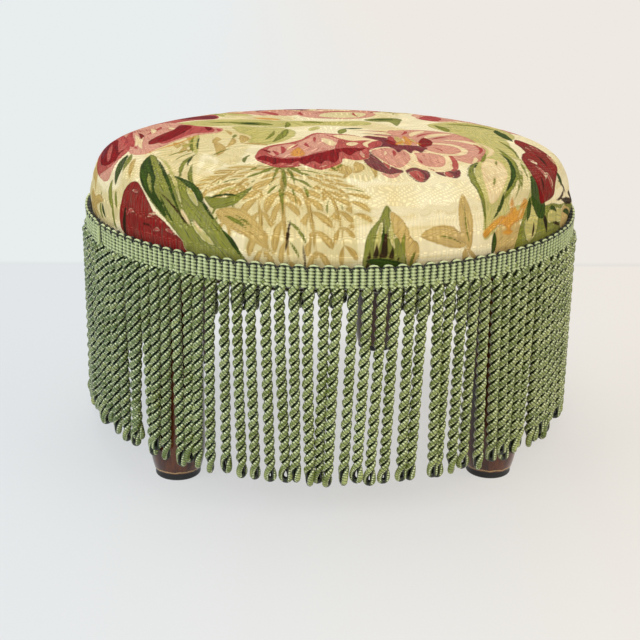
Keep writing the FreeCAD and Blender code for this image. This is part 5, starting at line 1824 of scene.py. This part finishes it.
@dataclass
class BullionFringe:
    """122 two-ply cords, each a ply doubled back on itself and ending in a loop."""

    count: int = 122
    phase_deg: float = -1.52
    ring_radius: float = 0.189
    band_bottom: float = 0.1659
    band_height: float = 0.0165
    fringe_drop: float = 0.1583
    tuck: float = 0.0050
    ply_radius: float = 0.00218
    ply_offset: float = 0.00188
    lay: float = 0.0156
    steps_per_turn: int = 10
    head_swell: float = 0.12
    rear_lift: float = 0.004
    length_spread: float = 0.0038
    length_waves: tuple[float, float] = (1.9, 4.1)
    lean_spread: float = 0.0088
    lean_waves: tuple[float, float] = (1.15, 0.47)
    sectors: tuple[str, ...] = (
        "front", "front_right", "right", "rear_right", "rear", "rear_left", "left", "front_left",
    )
    strays: dict[int, Stray] = field(default_factory=lambda: {
        106: Stray(-0.0046), 107: Stray(0.0034), 113: Stray(-0.0018), 114: Stray(0.0003), 115: Stray(0.0033),
        116: Stray(0.0024), 117: Stray(0.0044), 118: Stray(0.0044), 119: Stray(0.0028), 120: Stray(0.0027),
        121: Stray(-0.0017, -0.0045), 0: Stray(-0.0056), 1: Stray(-0.0045), 2: Stray(-0.0048), 3: Stray(-0.0061),
        4: Stray(-0.0047), 5: Stray(-0.0033), 6: Stray(-0.0056), 7: Stray(0.0014), 8: Stray(-0.0030),
        16: Stray(-0.0046), 17: Stray(0.0040),
    })

    @property
    def master_length(self) -> float:
        """Length of the straight cord that all cords are copied from."""
        return self.fringe_drop - self.band_height + self.tuck

    @property
    def phase(self) -> float:
        """Angle of the first cord, in radians."""
        return math.radians(self.phase_deg)

    @property
    def step(self) -> float:
        """Angle between neighbours, in radians."""
        return 2.0 * math.pi / self.count

    def ply_line(self, end: LoopEnd) -> np.ndarray:
        """Centreline of the ply, down one side, round the loop and up the other."""
        half = end.value
        straight = self.master_length - self.ply_radius - half
        relax = 0.009
        count = int(round(straight / self.lay * self.steps_per_turn))
        depth = np.linspace(0.0, straight, count)
        rate = 2.0 * math.pi / self.lay
        free = np.clip(depth - (straight - relax), 0.0, relax)
        angle = -rate * (depth - free**2 / (2.0 * relax))
        reach = self.ply_offset + (half - self.ply_offset) * smoothstep(straight - 0.006, straight, depth)
        down = np.column_stack([reach * np.cos(angle), reach * np.sin(angle), -depth])
        sweep = np.linspace(0.0, math.pi, 8)[1:-1]
        last = angle[-1]
        turn = np.column_stack([
            half * np.cos(sweep) * math.cos(last), half * np.cos(sweep) * math.sin(last), -straight - half * np.sin(sweep),
        ])
        up = down[::-1] * np.array([-1.0, -1.0, 1.0])
        return np.vstack([down, turn, up])

    def master(self, end: LoopEnd) -> bpy.types.Object:
        """One straight cord, hanging from the origin."""
        line = self.ply_line(end)
        curve = bpy.data.curves.new("cord_line", "CURVE")
        curve.dimensions = "3D"
        spline = curve.splines.new("POLY")
        spline.points.add(len(line) - 1)
        spline.points.foreach_set("co", np.column_stack([line, np.ones(len(line))]).ravel())
        curve.bevel_depth = self.ply_radius
        curve.bevel_resolution = 2
        curve.use_fill_caps = True
        curve.twist_mode = "MINIMUM"
        cord = bpy.data.objects.new("cord_" + end.name.lower(), curve)
        bpy.context.collection.objects.link(cord)
        activate(cord)
        bpy.ops.object.convert(target="MESH")
        cord = bpy.context.object
        points = read_points(cord)
        reach = np.hypot(points[:, 0], points[:, 1])
        # Share from the groove to the crest of each ply; the material paints shade and highlight from it.
        give_numbers(cord, "crest_light", np.clip(reach / (self.ply_offset + self.ply_radius), 0.0, 1.0))
        return cord

    def wander(self, index: int, spread: float, waves: tuple[float, float]) -> float:
        """Repeatable unevenness of one cord, between minus and plus spread."""
        return spread * (math.sin(waves[0] * index) + math.cos(waves[1] * index)) / 2.0

    def hung(self, shape: np.ndarray, index: int, chance: random.Random) -> np.ndarray:
        """Hang one straight cord in its place in the ring.

        Args:
            shape: Vertices of the straight cord.
            index: Its number, from the front towards the right.
            chance: Source of the small differences.

        Returns:
            The vertices in place.
        """
        stray = self.strays.get(index, Stray())
        drop = self.fringe_drop - self.band_height + self.wander(index, self.length_spread, self.length_waves)
        drop += stray.longer - self.rear_lift * smoothstep(0.3, 0.8, -math.cos(self.phase + index * self.step))
        depth = -shape[:, 2]
        stretch = (drop + self.tuck) / self.master_length
        share = np.clip(depth / self.master_length, 0.0, 1.0)
        twist = chance.uniform(0.0, math.pi) + 0.35 * np.sin(share * chance.uniform(5.0, 12.0) + chance.uniform(0, 6))
        c, s = np.cos(twist), np.sin(twist)
        fat = chance.uniform(0.96, 1.03) * (1.0 + self.head_swell * smoothstep(0.016, 0.006, depth))
        x = (c * shape[:, 0] - s * shape[:, 1]) * fat
        y = (s * shape[:, 0] + c * shape[:, 1]) * fat
        angle = self.phase + index * self.step
        loose = 0.3 + 0.7 * abs(math.sin(angle))
        lean = self.wander(index, self.lean_spread * loose, self.lean_waves)
        if index in self.strays:
            lean = stray.side
        lean += chance.uniform(-0.0010, 0.0010)
        curl = chance.uniform(-0.0008, 0.0008)
        x = x + lean * share**1.25 + curl * np.sin(share * math.pi * 1.5)
        out = stray.out + chance.uniform(-0.0008, 0.0014)
        tucked = smoothstep(self.tuck + 0.004, self.tuck - 0.003, depth)
        y = y - out * share**1.4 + 0.0036 * tucked
        z = self.band_bottom + self.tuck - depth * stretch
        points = np.column_stack([x, y - self.ring_radius, z])
        return turned_about_z(points, angle)

    def build(self) -> list[bpy.types.Object]:
        """Build the cords in eight pieces, dress them, put them on the body and hide the imported sectors they replace.
        """
        masters = [self.master(end) for end in LoopEnd]
        shapes = [read_points(master) for master in masters]
        chance = random.Random(23)
        groups: dict[str, list[bpy.types.Object]] = {name: [] for name in self.sectors}
        width = 360.0 / len(self.sectors)
        for index in range(self.count):
            kind = chance.choice((0, 1, 1, 2))
            twin = copied(masters[kind], "cord")
            write_points(twin, self.hung(shapes[kind], index, chance))
            angle = self.phase_deg + index * 360.0 / self.count
            sector = int(((angle + width / 2.0) % 360.0) // width)
            groups[self.sectors[sector]].append(twin)
        for master in masters:
            bpy.data.objects.remove(master)
        yarn = TwistedYarn().make()
        pieces = []
        for sector, cords in groups.items():
            piece = joined(cords, "bullion_" + sector)
            smooth(piece)
            piece.data.materials.clear()
            piece.data.materials.append(yarn)
            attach(piece, BODY)
            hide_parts("fringe_" + sector)
            pieces.append(piece)
        return pieces


# The underside and the rigid pieces

@dataclass
class Underside:
    """Black cambric stretched under the board."""

    radius: float = 0.172
    top: float = 0.1598
    thickness: float = 0.0005
    sag: float = 0.0016

    def build(self) -> bpy.types.Object:
        """Build the dust cover, dress it, put it on the body and hide the imported one it replaces."""
        deselect_all()
        bpy.ops.mesh.primitive_circle_add(
            vertices=96, radius=self.radius, fill_type="NGON", location=(0.0, 0.0, self.top)
        )
        cloth = named("dust_cover_cloth")
        apply_place(cloth)
        with shaping(cloth):
            bpy.ops.mesh.select_all(action="SELECT")
            rings = 14
            for ring in range(rings - 1):
                bpy.ops.mesh.inset(thickness=self.radius / rings)
            bpy.ops.mesh.poke()
        points = read_points(cloth)
        reach = np.hypot(points[:, 0], points[:, 1])
        hang = smoothstep(0.138, 0.0, reach)
        ripple = 0.0002 * np.sin(points[:, 0] * 95.0 + 1.0) * np.sin(points[:, 1] * 83.0)
        points[:, 2] -= (self.sag + ripple) * hang
        write_points(cloth, points)
        close_and_face_out(cloth)
        modify(cloth, "SOLIDIFY", thickness=self.thickness, offset=-1.0)
        smooth(cloth, 60.0)
        cloth.data.materials.clear()
        cloth.data.materials.append(
            Speckled("black_cambric", (34, 34, 36), (18, 18, 20), 0.9, 900.0, 0.2 * MM).make()
        )
        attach(cloth, BODY)
        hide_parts("dust_cover")
        return cloth


class RigidPieces:
    """Board, legs, glides and fixings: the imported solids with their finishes."""

    @staticmethod
    def dress() -> list[str]:
        """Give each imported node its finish.

        Returns:
            Names of the dressed nodes.
        """
        zinc = Speckled("zinc_steel", (196, 196, 198), (150, 150, 154), 0.34, 700.0, 0.05 * MM, 1.0).make()
        glide = Speckled("black_glide", (26, 26, 27), (12, 12, 13), 0.42, 500.0, 0.06 * MM).make()
        finishes = {
            "seat_board": Plywood().make(), "leg_": StainedWood().make(), "glide_nails": zinc, "glide_": glide,
            "hanger_bolt_": zinc, "t_nut_": zinc, "cover_staples": zinc, "dust_cover_staples": zinc,
        }
        dressed = []
        for name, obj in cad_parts.items():
            for start, material in finishes.items():
                if name.startswith(start):
                    obj.data.materials.clear()
                    obj.data.materials.append(material)
                    dressed.append(name)
                    break
        return dressed


# Floor, lights and camera

@dataclass
class Studio:
    """Pale floor, soft lights and the camera of the photograph."""

    camera_place: tuple[float, float, float] = (-0.0615, -0.9770, 0.4166)
    heading_deg: float = 3.25
    pitch_deg: float = 19.035
    roll_deg: float = 1.086
    focal_share: float = 1270.3 / 640.0
    sensor: float = 36.0
    floor_half: float = 6.0

    def floor(self) -> bpy.types.Object:
        """The floor."""
        deselect_all()
        bpy.ops.mesh.primitive_plane_add(size=2.0 * self.floor_half, location=(0.0, 0.0, 0.0))
        floor = named("studio_floor")
        apply_place(floor)
        floor.data.materials.append(PaleFloor().make())
        return floor

    def lamp(self, name: str, place: Sequence[float], size: float, power: float, colour: Colour) -> None:
        """A square soft light that faces the seat.

        Args:
            name: Its name.
            place: Where it hangs.
            size: Its side.
            power: Its power in watts.
            colour: Its colour.
        """
        data = bpy.data.lights.new(name, "AREA")
        data.size = size
        data.energy = power
        data.color = linear(*colour)[:3]
        lamp = bpy.data.objects.new(name, data)
        lamp.location = place
        lamp.rotation_euler = (Vector((0.0, 0.0, 0.12)) - Vector(place)).to_track_quat("-Z", "Y").to_euler()
        bpy.context.collection.objects.link(lamp)

    def camera(self) -> None:
        """The camera of the photograph."""
        data = bpy.data.cameras.new("camera")
        data.sensor_width = self.sensor
        data.lens = self.sensor * self.focal_share
        data.clip_start, data.clip_end = 0.05, 50.0
        camera = bpy.data.objects.new("camera", data)
        turn = (
            Matrix.Rotation(-math.radians(self.heading_deg), 4, "Z")
            @ Matrix.Rotation(math.radians(90.0 - self.pitch_deg), 4, "X")
            @ Matrix.Rotation(math.radians(self.roll_deg), 4, "Z")
        )
        camera.matrix_world = Matrix.Translation(self.camera_place) @ turn
        bpy.context.collection.objects.link(camera)
        bpy.context.scene.camera = camera

    def build(self) -> None:
        """Set up the camera, the floor and the light."""
        self.camera()
        self.floor()
        self.lamp("window", (-0.15, 0.55, 1.55), 1.0, 9.0, (255, 252, 246))
        self.lamp("front_soft", (-0.25, -1.7, 1.0), 0.8, 11.0, (255, 252, 246))
        self.lamp("left_soft", (-1.5, -0.9, 1.0), 1.0, 10.0, (236, 246, 255))
        self.lamp("right_soft", (1.5, -0.8, 1.0), 1.0, 9.0, (255, 244, 224))
        world = bpy.data.worlds.new("studio_air")
        world.use_nodes = True
        air = world.node_tree.nodes["Background"]
        air.inputs["Color"].default_value = linear(246, 248, 250)
        air.inputs["Strength"].default_value = 0.5
        bpy.context.scene.world = world
        bpy.context.scene.view_settings.view_transform = "Standard"


def main() -> None:
    """Build the tuffet's sub-assemblies in order and report each piece."""
    logging.basicConfig(level=logging.INFO, format="%(name)s: %(message)s")
    Studio().build()
    LOG.info("camera, floor and lights are set")
    for piece in Cushion().build():
        LOG.info("%s: %d faces", piece.name, len(piece.data.polygons))
    band = HeaderBand().build()
    LOG.info("%s: %d faces", band.name, len(band.data.polygons))
    for piece in BullionFringe().build():
        LOG.info("%s: %d faces", piece.name, len(piece.data.polygons))
    cloth = Underside().build()
    LOG.info("%s: %d faces", cloth.name, len(cloth.data.polygons))
    LOG.info("packed nodes dressed: %s", ", ".join(RigidPieces.dress()))


if __name__ == "__main__":
    main()
